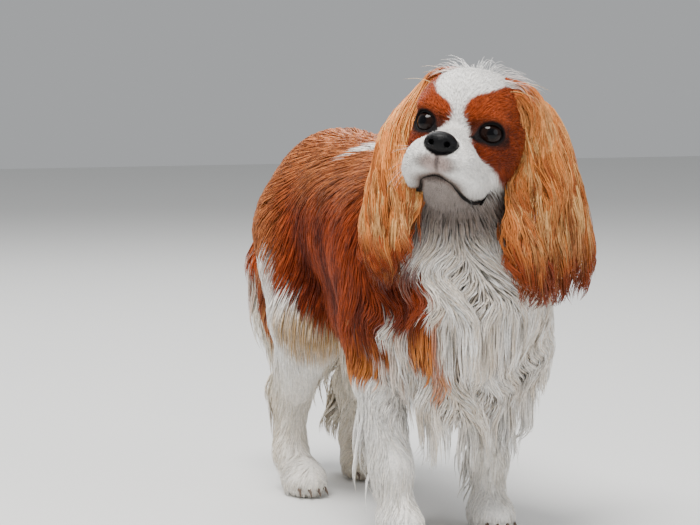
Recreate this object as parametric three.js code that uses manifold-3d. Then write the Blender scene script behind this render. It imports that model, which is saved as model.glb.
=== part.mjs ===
// Cavalier King Charles spaniel, an adult standing with its head turned to its right, life size.
// Millimetres, +Z up. The dog faces -Y, its left is at +X and the floor is at z 0.
// The solids follow the surface of the coat.
import * as THREE from "three";
import { mergeVertices } from "three/addons/utils/BufferGeometryUtils.js";
import Module from "manifold-3d";

const wasm = await Module();
wasm.setup();

// Driving dimensions
const BACK_HEIGHT = 336; // floor to the top of the back, over the coat
const RIB_HALF_WIDTH = 78;
const RIB_HALF_DEPTH = 90;
const SHOULDER_Y = -88;
const HIP_Y = 120;
const SWAY = 8; // the forehand stands this far to the left of the hips
const FORE_PAWS = { left: [52, -96], right: [-37, -108] };
const HIND_PAW = { x: 41, y: 116 };
const LEFT_HIND_REACH = 62; // the left hind leg stands this far further back
const EYE_HALF_SPACING = 25.5;
const EYE_RADIUS = 12;
const HEAD_AT = [-17.5, -184.5, 349]; // midpoint of the eyeballs
const HEAD_TURN = { yaw: -37, pitch: -10, roll: 10 }; // degrees: to its right, upwards, left ear down
const NODE_GAP = 0.3;
const LOCK_SEED = 7;
const SIDES = { left: 1, right: -1 };

const DEGREE = Math.PI / 180;
const vec = (p) => new THREE.Vector3(...p);

// A field gives the distance from a point to a surface, below zero inside it.

// An egg with three radii, turned by angles in degrees about X, then Y, then Z.
function lump(centre, radii, turn = [0, 0, 0]) {
  const [cx, cy, cz] = centre;
  const [rx, ry, rz] = radii;
  const euler = new THREE.Euler(...turn.map((a) => a * DEGREE));
  const m = new THREE.Matrix4().makeRotationFromEuler(euler).transpose().elements;
  return (x, y, z) => {
    const [dx, dy, dz] = [x - cx, y - cy, z - cz];
    const u = m[0] * dx + m[4] * dy + m[8] * dz;
    const v = m[1] * dx + m[5] * dy + m[9] * dz;
    const w = m[2] * dx + m[6] * dy + m[10] * dz;
    const near = Math.hypot(u / rx, v / ry, w / rz);
    const slope = Math.hypot(u / rx ** 2, v / ry ** 2, w / rz ** 2);
    return slope > 0 ? (near * (near - 1)) / slope : -Math.min(rx, ry, rz);
  };
}

// A tapered limb with round ends from a to b. It is wide times as broad along X.
function limb(a, b, ra, rb, wide = 1) {
  const along = b.map((value, i) => value - a[i]);
  const square = along.reduce((sum, value) => sum + value * value, 0);
  return (x, y, z) => {
    const [dx, dy, dz] = [x - a[0], y - a[1], z - a[2]];
    const share = (dx * along[0] + dy * along[1] + dz * along[2]) / square;
    const t = Math.min(1, Math.max(0, share));
    const off = Math.hypot(
      (dx - t * along[0]) / wide,
      dy - t * along[1],
      dz - t * along[2],
    );
    return off - (ra + t * (rb - ra));
  };
}

// Joins fields with a soft fillet about blend wide.
function join(fields, blend) {
  return (x, y, z) => {
    let d = fields[0](x, y, z);
    for (let i = 1; i < fields.length; i++) {
      const e = fields[i](x, y, z);
      const h = Math.max(blend - Math.abs(d - e), 0);
      d = Math.min(d, e) - (h * h) / (4 * blend);
    }
    return d;
  };
}

// Takes a field out of another with a soft rim.
function carve(field, tool, blend) {
  return (x, y, z) => {
    const [d, e] = [field(x, y, z), -tool(x, y, z)];
    const h = Math.max(blend - Math.abs(d - e), 0);
    return Math.max(d, e) + (h * h) / (4 * blend);
  };
}

const grown = (field, by) => (x, y, z) => field(x, y, z) - by;

// The head's own frame: its origin is midway between the eyes, it faces -Y and +Z is up.
const headMatrix = new THREE.Matrix4()
  .makeRotationFromEuler(
    new THREE.Euler(
      HEAD_TURN.pitch * DEGREE,
      HEAD_TURN.roll * DEGREE,
      HEAD_TURN.yaw * DEGREE,
      "ZXY",
    ),
  )
  .setPosition(...HEAD_AT);
const headInverse = headMatrix.clone().invert().elements;
const inHead = (field) => (x, y, z) => {
  const m = headInverse;
  return field(
    m[0] * x + m[4] * y + m[8] * z + m[12],
    m[1] * x + m[5] * y + m[9] * z + m[13],
    m[2] * x + m[6] * y + m[10] * z + m[14],
  );
};
const fromHead = (p) => vec(p).applyMatrix4(headMatrix);

// The long coat: reach is 0 at the core that carries its locks and 1 at their tips.
const between = (core, tips, reach) => core.map((value, i) => value + reach * (tips[i] - value));

// Trunk
function trunkField(reach) {
  const top = BACK_HEIGHT;
  const parts = [
    lump([4, -50, top - RIB_HALF_DEPTH], [RIB_HALF_WIDTH, 116, RIB_HALF_DEPTH]),
    lump([0, 50, top - 76], [70, 108, 76]),
    lump([0, HIP_Y + 2, top - 72], [65, 78, 72]),
    lump([SWAY + 4, -126, 218], between([64, 47, 76], [70, 57, 84], reach)),
    lump([2, -10, 178], between([50, 98, 34], [54, 104, 50], reach)),
    lump([SWAY + 58, SHOULDER_Y, 205], between([31, 50, 78], [35, 52, 80], reach)),
    lump([SWAY + 62, SHOULDER_Y, 152], between([26, 36, 40], [36, 46, 60], reach)),
    lump([SWAY - 56, SHOULDER_Y, 214], between([26, 48, 76], [29, 50, 78], reach)),
    lump([SWAY + 4, -116, 138], between([38, 28, 28], [48, 38, 70], reach)),
  ];
  for (const s of Object.values(SIDES)) {
    parts.push(limb([s * 32, HIP_Y, 246], [s * 44, 84, 176], 46, 36));
  }
  return join(parts, 26);
}

function neckField(reach) {
  const [nape, throat, chest] = between([60, 32, 45], [66, 38, 56], reach);
  return join(
    [
      limb([6, -82, 272], [2, -132, 322], nape, 46),
      limb([-8, -150, 300], [6, -148, 216], throat, chest),
    ],
    26,
  );
}

// Legs
function foreLegField(s, reach) {
  const [x, y] = s > 0 ? FORE_PAWS.left : FORE_PAWS.right;
  const elbow = [SWAY + s * 54, -78, 140];
  return join(
    [
      limb([SWAY + s * 56, -78, 180], elbow, 32, 23),
      limb(elbow, [x + s * 2, y + 12, 60], 22, 16),
      limb([x + s * 2, y + 12, 60], [x, y + 6, 24], 16, 14.5),
      lump([x + s * 6, y + 32, 92], between([11, 12, 52], [13, 32, 68], reach), [-8, 0, 0]),
      lump([x, y, 14], [20, 28, 17]),
    ],
    12,
  );
}

function hindLegField(s, reach) {
  const back = s > 0 ? LEFT_HIND_REACH : 0;
  const { x, y } = HIND_PAW;
  const knee = [s * 46, 86 + 0.25 * back, 170 - 0.06 * back];
  const hock = [s * (x + 2), y + 32 + back, 92 - 0.04 * back];
  const foot = [s * (x + 4), y + 30 + back, 36];
  return join(
    [
      limb([s * 32, HIP_Y + 4, 240], knee, 46, 34),
      limb(knee, hock, 34, 17),
      limb(hock, foot, 17, 14),
      limb(foot, [s * x, y + 6 + back, 18], 14, 14),
      lump([s * 40, HIP_Y + 42 + 0.4 * back, 184], between([22, 22, 48], [28, 36, 62], reach)),
      lump([s * x, y + back, 14], [20, 27, 17]),
    ],
    16,
  );
}

const bodyField = (reach) =>
  join(
    [trunkField(reach), neckField(reach), ...Object.values(SIDES).map((s) => hindLegField(s, reach))],
    18,
  );
const body = bodyField(0);
const bodyTips = bodyField(1);

// Head
function craniumField() {
  const parts = [
    lump([0, 46, 12], [47, 54, 44]),
    lump([0, 14, 21], [38, 29, 29]),
    lump([0, 40, -16], [41, 44, 33]),
  ];
  for (const s of [1, -1]) {
    parts.push(lump([s * 22, 5, 15], [15, 13, 12]));
    parts.push(lump([s * 29, 24, -16], [15, 32, 24]));
  }
  return join(parts, 12);
}

function muzzleField() {
  const parts = [limb([0, 6, -20], [0, -32, -26], 24, 17, 1.2)];
  for (const s of [1, -1]) {
    parts.push(lump([s * 13.5, -31, -31.5], [16, 19, 16]));
    parts.push(lump([s * 22, -9, -39], [13.5, 30, 16]));
  }
  return join(parts, 8);
}

const jaw = join(
  [
    limb([0, -27, -43], [0, -4, -46], 12, 16, 1.45),
    limb([0, -4, -46], [0, 34, -42], 16, 26, 1.2),
  ],
  8,
);
const eyeAt = (s) => [s * EYE_HALF_SPACING, 0, 0];
const skull = join([craniumField(), muzzleField()], 9);
const sockets = [1, -1].reduce(
  (field, s) => carve(field, lump([s * (EYE_HALF_SPACING + 1), -9, 0], [12, 8, 10]), 5),
  skull,
);
const upperHead = inHead(sockets);
const lowerJaw = inHead(jaw);
const whole = join([body, upperHead, lowerJaw], 12);

// Marks from the first stop to the last, each span between two stops in steps of about its size.
function marks(stops, sizes) {
  const list = [stops[0]];
  sizes.forEach((size, i) => {
    const span = stops[i + 1] - stops[i];
    const count = Math.max(1, Math.round(span / size));
    for (let k = 1; k <= count; k++) list.push(stops[i] + (span * k) / count);
  });
  return list;
}

// Two inner and two outer corners across from each other on one grid face would pinch the
// surface, so the weakest of the four changes sides.
function unpinch(value, n, index) {
  const planes = [
    [[1, 0, 0], [0, 1, 0]],
    [[0, 1, 0], [0, 0, 1]],
    [[0, 0, 1], [1, 0, 0]],
  ];
  let changed = true;
  while (changed) {
    changed = false;
    for (let k = 1; k < n[2] - 2; k++)
      for (let j = 1; j < n[1] - 2; j++)
        for (let i = 1; i < n[0] - 2; i++)
          for (const [u, v] of planes) {
            const face = [
              index(i, j, k),
              index(i + u[0], j + u[1], k + u[2]),
              index(i + u[0] + v[0], j + u[1] + v[1], k + u[2] + v[2]),
              index(i + v[0], j + v[1], k + v[2]),
            ];
            const inner = face.map((a) => value[a] < 0);
            if (inner[0] !== inner[2] || inner[1] !== inner[3] || inner[0] === inner[1]) continue;
            face.sort((a, b) => Math.abs(value[a]) - Math.abs(value[b]));
            value[face[0]] *= -1;
            changed = true;
          }
  }
}

// Polygonises a field on a grid of marks along the three axes of a frame: one vertex for each
// cell that the surface crosses and one quad round each grid edge that crosses it. The surface
// closes at the sides of the grid.
function surfaceOf(field, grid, frame = new THREE.Matrix4()) {
  const n = grid.map((list) => list.length);
  const index = (i, j, k) => i + n[0] * (j + n[1] * k);
  const value = new Float64Array(n[0] * n[1] * n[2]);
  const point = new THREE.Vector3();
  for (let k = 0; k < n[2]; k++)
    for (let j = 0; j < n[1]; j++)
      for (let i = 0; i < n[0]; i++) {
        point.set(grid[0][i], grid[1][j], grid[2][k]).applyMatrix4(frame);
        const d = field(point.x, point.y, point.z) || 1e-6;
        const side = [i, j, k].some((a, axis) => a === 0 || a === n[axis] - 1);
        value[index(i, j, k)] = side ? Math.max(d, 1) : d;
      }
  unpinch(value, n, index);
  const corners = [0, 1, 2, 3, 4, 5, 6, 7].map((c) => [c & 1, (c >> 1) & 1, (c >> 2) & 1]);
  const edges = corners.flatMap((_, a) =>
    [1, 2, 4].filter((bit) => !(a & bit)).map((bit) => [a, a | bit]),
  );
  const points = [];
  const vertex = new Map();
  for (let k = 0; k < n[2] - 1; k++)
    for (let j = 0; j < n[1] - 1; j++)
      for (let i = 0; i < n[0] - 1; i++) {
        const d = corners.map(([a, b, c]) => value[index(i + a, j + b, k + c)]);
        const sum = [0, 0, 0];
        let crossings = 0;
        for (const [a, b] of edges) {
          if (d[a] > 0 === d[b] > 0) continue;
          const t = d[a] / (d[a] - d[b]);
          sum.forEach((_, q) => (sum[q] += corners[a][q] + t * (corners[b][q] - corners[a][q])));
          crossings++;
        }
        if (crossings === 0) continue;
        const place = [i, j, k].map((a, axis) => {
          const marksHere = grid[axis];
          return marksHere[a] + (sum[axis] / crossings) * (marksHere[a + 1] - marksHere[a]);
        });
        vertex.set(index(i, j, k), points.length);
        points.push(vec(place).applyMatrix4(frame));
      }
  const faces = [];
  const steps = [
    [1, 0, 0],
    [0, 1, 0],
    [0, 0, 1],
  ];
  const round = [
    [0, 0],
    [1, 0],
    [1, 1],
    [0, 1],
  ];
  for (let k = 0; k < n[2] - 1; k++)
    for (let j = 0; j < n[1] - 1; j++)
      for (let i = 0; i < n[0] - 1; i++)
        steps.forEach((step, axis) => {
          const here = value[index(i, j, k)] > 0;
          const there = value[index(i + step[0], j + step[1], k + step[2])] > 0;
          if (here === there) return;
          const [u, v] = [steps[(axis + 1) % 3], steps[(axis + 2) % 3]];
          const quad = round.map(([a, b]) => {
            const cell = [i, j, k].map((c, q) => c - a * u[q] - b * v[q]);
            return vertex.get(index(...cell));
          });
          if (here) quad.reverse();
          const cross = (a, b) => points[quad[a]].distanceTo(points[quad[b]]);
          if (cross(1, 3) < cross(0, 2)) quad.push(quad.shift());
          faces.push(quad[0], quad[1], quad[2], quad[0], quad[2], quad[3]);
        });
  const geometry = new THREE.BufferGeometry().setFromPoints(points);
  geometry.setIndex(faces);
  return geometry;
}

// Skins a list of rings of points, all of one length, and closes both ends.
function loft(rings) {
  const sides = rings[0].length;
  const middle = (ring) =>
    ring.reduce((sum, p) => sum.add(p), new THREE.Vector3()).divideScalar(sides);
  const points = [...rings.flat(), middle(rings[0]), middle(rings.at(-1))];
  const last = rings.length - 1;
  const [start, end] = [points.length - 2, points.length - 1];
  const faces = [];
  for (let i = 0; i < sides; i++) {
    const next = (i + 1) % sides;
    faces.push(start, next, i, end, last * sides + i, last * sides + next);
    for (let r = 0; r < last; r++) {
      const [a, b] = [r * sides + i, r * sides + next];
      faces.push(a, b, b + sides, a, b + sides, a + sides);
    }
  }
  const geometry = new THREE.BufferGeometry().setFromPoints(points);
  geometry.setIndex(faces);
  return geometry;
}

// Skins rings of three points and draws them to a tip.
function taper(rings, tip) {
  const points = [...rings.flat(), tip];
  const end = points.length - 1;
  const faces = [0, 2, 1];
  for (let i = 0; i < 3; i++) {
    const next = (i + 1) % 3;
    faces.push(end, end - 3 + i, end - 3 + next);
    for (let a = i, b = next; a < end - 3; a += 3, b += 3) {
      faces.push(a, b, b + 3, a, b + 3, a + 3);
    }
  }
  const geometry = new THREE.BufferGeometry().setFromPoints(points);
  geometry.setIndex(faces);
  return geometry;
}

function solid(geometry) {
  const plain = new THREE.BufferGeometry();
  plain.setAttribute("position", geometry.getAttribute("position"));
  if (geometry.index) plain.setIndex(geometry.index);
  const merged = mergeVertices(plain, 1e-4);
  return new wasm.Manifold(
    new wasm.Mesh({
      numProp: 3,
      vertProperties: new Float32Array(merged.attributes.position.array),
      triVerts: new Uint32Array(merged.index.array),
    }),
  );
}

// Everything on the side of a plane that its normal points to.
function beyond(point, normal, size = 700) {
  const geometry = new THREE.BoxGeometry(size, size, size);
  geometry.translate(0, 0, size / 2);
  const turn = new THREE.Quaternion().setFromUnitVectors(
    new THREE.Vector3(0, 0, 1),
    vec(normal).normalize(),
  );
  geometry.applyQuaternion(turn).translate(...point);
  return solid(geometry);
}

const shifted = (p, n, by) => {
  const unit = vec(n).normalize();
  return p.map((value, i) => value + by * unit.getComponent(i));
};
const keep = (piece, [p, n]) => piece.intersect(beyond(shifted(p, n, NODE_GAP / 2), n));
const drop = (piece, [p, n]) => {
  const back = n.map((value) => -value);
  return piece.intersect(beyond(shifted(p, back, NODE_GAP / 2), back));
};
const largest = (piece) =>
  piece.decompose().reduce((best, one) => (one.volume() > best.volume() ? one : best));

// Locks, all drawn in one fixed order from one seed.
let draw = LOCK_SEED;
function vary(value, share) {
  draw = (draw * 48271) % 2147483647;
  return value * (1 + share * (2 * (draw / 2147483647) - 1));
}

function away(field, p) {
  const slope = [0, 1, 2].map((i) => {
    const [a, b] = [p.toArray(), p.toArray()];
    a[i] += 0.5;
    b[i] -= 0.5;
    return field(...a) - field(...b);
  });
  return vec(slope).normalize();
}

// Moves a point along the slope of a field until it is at a height over the surface.
function settle(field, p, height) {
  for (let i = 0; i < 5; i++) {
    p.addScaledVector(away(field, p), height - field(...p.toArray()));
  }
  return p;
}

// The place where a line of sight from a point meets a surface.
function meet(field, from, sight) {
  const p = from.clone();
  for (let i = 0; i < 60; i++) p.addScaledVector(sight, 0.8 * field(...p.toArray()));
  return p;
}

const LOCK_WIDTH = [0.85, 1, 0.95, 0.6]; // shares of the full width from root to tip
const LOCK_RISE = [1, 1, 0.95, 0.75];
const LOCK_FADE = [1, 0.3, 0, 0, 0]; // how much of the root's depth is left
const LOCK_ROOT = 6; // depth of a root under the core
const LOCK_SWING = 2.2; // how far a lock sways to a side between two rings

// A flat lock with a low ridge. It is rooted in the core, follows the lie over the surface of
// the tips and ends in a point. Extra makes it larger all round.
function lock({ core, tips, root, lie, length, width, thick, bend }, extra) {
  const p = settle(core, root.clone(), -LOCK_ROOT);
  const deep = tips(...p.toArray());
  const rings = [];
  for (let i = 0; i < LOCK_WIDTH.length; i++) {
    const out = away(tips, p);
    const way = lie(p);
    const down = way.addScaledVector(out, -way.dot(out)).normalize();
    const side = out.clone().cross(down);
    const half = (width / 2) * LOCK_WIDTH[i] + 3 * extra; // its side edges are sharp
    const low = p.clone().addScaledVector(out, -extra);
    rings.push([
      low.clone().addScaledVector(side, half),
      p.clone().addScaledVector(out, thick * LOCK_RISE[i] + extra),
      low.clone().addScaledVector(side, -half),
    ]);
    p.addScaledVector(down, length / 4).addScaledVector(side, bend * Math.cos(i * 1.7));
    const level = -thick * (i < 3 ? 0.9 : 0.5);
    settle(tips, p, level + LOCK_FADE[i + 1] * (deep - level));
    if (i === 3) p.addScaledVector(down, 2 * extra);
  }
  return solid(taper(rings, p));
}

// Makes locks and the space round them from a list of their sizes.
const together = (pieces) => wasm.Manifold.union(pieces);
const made = (specs) => ({
  locks: together(specs.map((spec) => lock(spec, 0))),
  space: together(specs.map((spec) => lock(spec, 2 * NODE_GAP))),
});

// A row of roots, seen along sight, from one end of a line to the other.
function row({ core, tips, from, to, count, sight, lie, length, width, thick }) {
  const [a, b] = [vec(from), vec(to)];
  return Array.from({ length: count }, (_, i) => {
    const t = count > 1 ? i / (count - 1) : 0.5;
    const eye = a.clone().lerp(b, t);
    eye.z += vary(5, 1) - 5;
    return {
      core,
      tips,
      root: meet(core, eye, vec(sight)),
      lie: typeof lie === "function" ? lie : () => vec(lie).normalize(),
      length: vary(length, 0.14),
      width: vary(width, 0.12),
      thick: vary(thick, 0.1),
      bend: vary(LOCK_SWING, 1) - LOCK_SWING,
    };
  });
}

// Planes that part the body, each a point and a normal.
const floor = [
  [0, 0, 0],
  [0, 0, 1],
];
const neckPlane = [
  [0, -104, 270],
  [0, -0.45, 0.89],
];
const headPlane = (() => {
  const p = fromHead([0, 34, -52]);
  const q = fromHead([0, 34 - 0.55, -52 + 0.83]);
  return [p.toArray(), q.sub(p).toArray()];
})();
const forePlane = [
  [0, 0, 152],
  [0, 0, -1],
];
const shankPlane = (s) => {
  const reach = s > 0 ? LEFT_HIND_REACH : 0;
  return [
    [s * 54, 104 + 0.4 * reach, 140],
    [0, 0.3, -0.95],
  ];
};
const pawPlane = [
  [0, 0, 34],
  [0, 0, -1],
];

// Eyes and nose
const GAZE_OUT = 22; // degrees
function gazeFrame(s) {
  const turn = new THREE.Matrix4().makeRotationZ(s * GAZE_OUT * DEGREE);
  return headMatrix.clone().multiply(turn.setPosition(...eyeAt(s)));
}

function eyeball(s, radius) {
  const geometry = new THREE.SphereGeometry(radius, 12, 9);
  geometry.rotateX(90 * DEGREE);
  return solid(geometry.applyMatrix4(gazeFrame(s)));
}

// The two lids, one rim round the eye that is wider than high.
function lidRim(s) {
  const geometry = new THREE.TorusGeometry(11.2, 2.1, 5, 14);
  geometry.rotateX(90 * DEGREE).scale(1.06, 1, 0.86).translate(0, -4.6, 0);
  return solid(geometry.applyMatrix4(gazeFrame(s)));
}

function noseLeather(extra) {
  const geometry = new THREE.SphereGeometry(1, 12, 9);
  geometry.scale(13.5 + extra, 10 + extra, 11.5 + extra).translate(0, -44, -19.5);
  return solid(geometry.applyMatrix4(headMatrix));
}

function nose() {
  let made = noseLeather(0);
  for (const s of [1, -1]) {
    const nostril = new THREE.SphereGeometry(1, 8, 6);
    nostril.scale(3.2, 5, 2.8).rotateZ(s * 30 * DEGREE).translate(s * 7, -52, -20);
    made = made.subtract(solid(nostril.applyMatrix4(headMatrix)));
  }
  return made;
}

// Ears: a flap hangs from the side of the head along a path, with a width, a thickness and a
// cup, the amount that its middle stands out from its edges.
const EARS = {
  left: {
    path: [
      [36, -164, 370],
      [50, -170, 370],
      [63, -170, 350],
      [71, -167, 318],
      [75, -166, 282],
      [76, -166, 240],
      [75, -166, 194],
    ],
    across: [0.97, 0.24, 0],
    halfWidth: [10, 17, 25, 36, 45, 49, 28],
  },
  right: {
    path: [
      [-20, -128, 378],
      [-36, -132, 376],
      [-52, -136, 352],
      [-60, -140, 318],
      [-63, -142, 284],
      [-64, -142, 250],
      [-62, -140, 212],
    ],
    across: [0.52, -0.85, 0],
    halfWidth: [9, 12, 15, 24, 34, 36, 20],
  },
};
const EAR_OUTER = [6, 9, 12, 14, 15, 15, 6]; // coat over the leather
const EAR_INNER = [4, 4, 4, 4, 5, 6, 4];
const EAR_CUP = [0, 2, 6, 9, 10, 8, 2];

// Reads a list at t from 0 to 1, straight between its entries.
function read(list, t) {
  const place = t * (list.length - 1);
  const i = Math.min(list.length - 2, Math.floor(place));
  return list[i] + (place - i) * (list[i + 1] - list[i]);
}

// A place on an ear: t runs from its root to its tips, x across it from -1 to 1, and rise is
// measured out from its middle surface.
function earPlace({ path, across, halfWidth }, t, x, rise) {
  const curve = new THREE.CatmullRomCurve3(path.map(vec));
  const down = curve.getTangent(t);
  const wide = vec(across).normalize();
  const side = wide.addScaledVector(down, -wide.dot(down)).normalize();
  const out = down.clone().cross(side).normalize();
  return curve
    .getPoint(t)
    .addScaledVector(side, read(halfWidth, t) * x)
    .addScaledVector(out, rise - read(EAR_CUP, t) * x * x);
}

const EAR_CORE_END = 0.66;
const EAR_CORE_WIDTH = [1, 1, 0.94, 0.8, 0.5];

function earCore(ear) {
  const rings = [];
  const [rows, sides] = [7, 10];
  for (let r = 0; r <= rows; r++) {
    const t = (r / rows) * EAR_CORE_END;
    const slim = read(EAR_CORE_WIDTH, r / rows);
    const ring = [];
    for (let i = 0; i < sides; i++) {
      const angle = (i / sides) * 2 * Math.PI;
      const thick = read(angle < Math.PI ? EAR_OUTER : EAR_INNER, t);
      const rise = slim * thick * 0.8 * Math.sin(angle);
      ring.push(earPlace(ear, t, slim * Math.cos(angle), rise));
    }
    rings.push(ring);
  }
  return solid(loft(rings));
}

// Rows of ear locks: where along the ear a row is rooted, its count and its length as a share.
const EAR_ROWS = [
  [0.2, 3, 0.56],
  [0.46, 4, 0.52],
];

function earLock(ear, t0, x0, share, extra, bend, width) {
  const rings = [];
  for (let i = 0; i <= 4; i++) {
    const t = Math.min(1, t0 + (share * i) / 4);
    const x = x0 * (1 - 0.12 * Math.max(0, i - 2)) + bend * Math.sin(i * 1.6);
    const round = Math.sqrt(Math.max(0, 1 - 0.85 * x * x));
    const outer = read(EAR_OUTER, t) * round;
    const base = outer * (i === 0 ? -0.1 : i === 1 ? 0.3 : 0.5);
    if (i === 4) {
      rings.push(earPlace(ear, t, x, base));
      break;
    }
    const half = ((width / 2) * LOCK_WIDTH[i] + extra) / read(ear.halfWidth, t);
    rings.push([
      earPlace(ear, t, x + half, base - extra),
      earPlace(ear, t, x, outer + extra + 2),
      earPlace(ear, t, x - half, base - extra),
    ]);
  }
  const tip = rings.pop();
  return solid(taper(rings, tip));
}

function earFlap(ear) {
  const pieces = [earCore(ear)];
  for (const [t, count, share] of EAR_ROWS) {
    for (let i = 0; i < count; i++) {
      const x = (2 * i + 1) / count - 1;
      const width = (2.3 * read(ear.halfWidth, t + share / 2)) / count;
      pieces.push(
        earLock(ear, t, x, vary(share, 0.08), 0, vary(0.05, 1) - 0.05, width),
      );
    }
  }
  return together(pieces);
}

// Tail
const TAIL = [
  [0, 180, 304],
  [-10, 210, 286],
  [-28, 226, 248],
  [-36, 228, 205],
  [-31, 230, 160],
  [-14, 232, 116],
  [0, 232, 84],
];
const TAIL_RADII = [16, 18, 21, 23, 24, 21, 9];
const TAIL_CORE = [14, 13, 12, 12, 11, 8]; // ends one place before the tips
const plume = (radii) =>
  join(
    radii.slice(1).map((radius, i) => limb(TAIL[i], TAIL[i + 1], radii[i], radius)),
    10,
  );
const tailField = plume(TAIL_RADII);
const tailCore = plume(TAIL_CORE);

// The way from the tail's root to its tip beside a point.
function alongTail(p) {
  const i = Math.min(
    TAIL.length - 2,
    TAIL.slice(1, -1).filter((place) => place[2] > p.z).length,
  );
  return vec(TAIL[i + 1]).sub(vec(TAIL[i])).normalize();
}

// Where the long locks grow: a row of roots runs from one place to another, as seen along sight.
const FORWARD = [0, 1, 0]; // sight from the front
const BACKWARD = [0, -1, 0]; // sight from behind
const HANG = [0, 0, -1];
const coat = { core: body, tips: bodyTips, sight: FORWARD, lie: HANG };

function neckRows() {
  const bib = { ...coat, length: 66, width: 25, thick: 8 };
  const rows = [row({ ...bib, from: [-30, -320, 262], to: [28, -320, 262], count: 3 })];
  for (const s of [1, -1]) {
    rows.push(
      row({
        ...coat,
        from: [s * 200, -120, 298],
        to: [s * 200, -120, 298],
        count: 1,
        sight: [-s, 0, 0],
        lie: [0, 0.25, -1],
        length: 58,
        width: 30,
        thick: 7,
      }),
    );
  }
  return rows.flat();
}

function torsoRows() {
  const bib = { ...coat, length: 64, width: 25, thick: 9 };
  const rows = [
    row({ ...bib, from: [-34, -320, 204], to: [42, -320, 204], count: 3, width: 30 }),
    row({ ...bib, from: [-26, -320, 168], to: [54, -320, 168], count: 3, width: 30 }),
    row({ ...bib, from: [-14, -320, 134], to: [34, -320, 134], count: 3, length: 68 }),
  ];
  for (const s of [1, -1]) {
    const flank = { ...coat, sight: [-s, 0, 0], lie: [0, 0.25, -1], width: 26, thick: 7 };
    const rear = { ...coat, sight: BACKWARD, lie: [0, 0.3, -1], width: 24, thick: 8 };
    rows.push(
      row({ ...flank, from: [s * 200, -116, 188], to: [s * 200, -66, 190], count: 2, length: 58 }),
      row({
        ...flank,
        from: [s * 200, -40, 168],
        to: [s * 200, 50, 174],
        count: 2,
        length: 54,
        width: 38,
      }),
      row({ ...rear, from: [s * 50, 320, 214], to: [s * 20, 320, 220], count: 2, length: 56 }),
    );
  }
  return rows.flat();
}

function foreRows(s) {
  const [x, y] = s > 0 ? FORE_PAWS.left : FORE_PAWS.right;
  const leg = { core: foreLegField(s, 0), tips: foreLegField(s, 1), count: 1, lie: [0, 0.5, -1] };
  return [116, 82].flatMap((z) =>
    row({
      ...leg,
      from: [x + s * 5, y + 200, z],
      to: [x + s * 5, y + 200, z],
      sight: BACKWARD,
      length: 46,
      width: 20,
      thick: 8,
    }),
  );
}

function hindRows(s) {
  const back = s > 0 ? LEFT_HIND_REACH : 0;
  return row({
    ...coat,
    from: [s * 30, 380, 132],
    to: [s * 48, 380, 128],
    count: 2,
    sight: BACKWARD,
    lie: [0, 0.4, -1],
    length: 46,
    width: 18,
    thick: 8,
  });
}

function tailRows() {
  const rows = [];
  for (const [i, z] of [266, 208, 150].entries()) {
    const near = TAIL.reduce((best, p) => (Math.abs(p[2] - z) < Math.abs(best[2] - z) ? p : best));
    for (const turn of i % 2 ? [60, 180, 300] : [0, 110]) {
      const sight = [-Math.cos(turn * DEGREE), -Math.sin(turn * DEGREE), 0];
      const from = [near[0] - 90 * sight[0], near[1] - 90 * sight[1], z];
      rows.push(
        row({
          core: tailCore,
          tips: tailField,
          from,
          to: from,
          count: 1,
          sight,
          lie: alongTail,
          length: 72,
          width: 30,
          thick: 9,
        }),
      );
    }
  }
  return rows.flat();
}

// Nodes
const nodes = {};
const build = (field, grid, frame) => solid(surfaceOf(field, grid, frame));
const cover = (field, grid, frame) => build(grown(field, 2 * NODE_GAP), grid, frame);

const headGrid = [
  marks([-68, -44, 44, 68], [8, 6, 8]),
  marks([-66, 6, 112], [6, 12]),
  marks([-98, -68, 20, 70], [10, 6, 10]),
];
const withNeck = (field) => join([field, body], 12);
const upper = withNeck(upperHead);
let head = keep(build(upper, headGrid, headMatrix), headPlane);
for (const s of [1, -1]) {
  head = head.add(lidRim(s)).subtract(eyeball(s, EYE_RADIUS + NODE_GAP));
}
nodes.head = head.subtract(noseLeather(NODE_GAP));
nodes.lower_jaw = keep(build(withNeck(lowerJaw), headGrid, headMatrix), headPlane).subtract(
  cover(upper, headGrid, headMatrix),
);
nodes.eye_left = eyeball(1, EYE_RADIUS);
nodes.eye_right = eyeball(-1, EYE_RADIUS);
nodes.nose = nose();

const neckGrid = [marks([-104, 114], [15]), marks([-232, -4], [15]), marks([196, 420], [16])];
const neckLocks = made(neckRows());
nodes.neck = drop(keep(build(whole, neckGrid), neckPlane), headPlane).add(neckLocks.locks);
const torsoGrid = [marks([-112, 128], [18]), marks([-222, 246], [26]), marks([56, 354], [18])];
const torsoLocks = made(torsoRows());
let torso = drop(build(body, torsoGrid), neckPlane);
const dogCovers = [
  cover(whole, headGrid, headMatrix),
  cover(whole, neckGrid),
  cover(body, torsoGrid),
  neckLocks.space,
  torsoLocks.space,
];
const middleLine = (s) => beyond([s * NODE_GAP, 0, 0], [s, 0, 0]);

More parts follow.
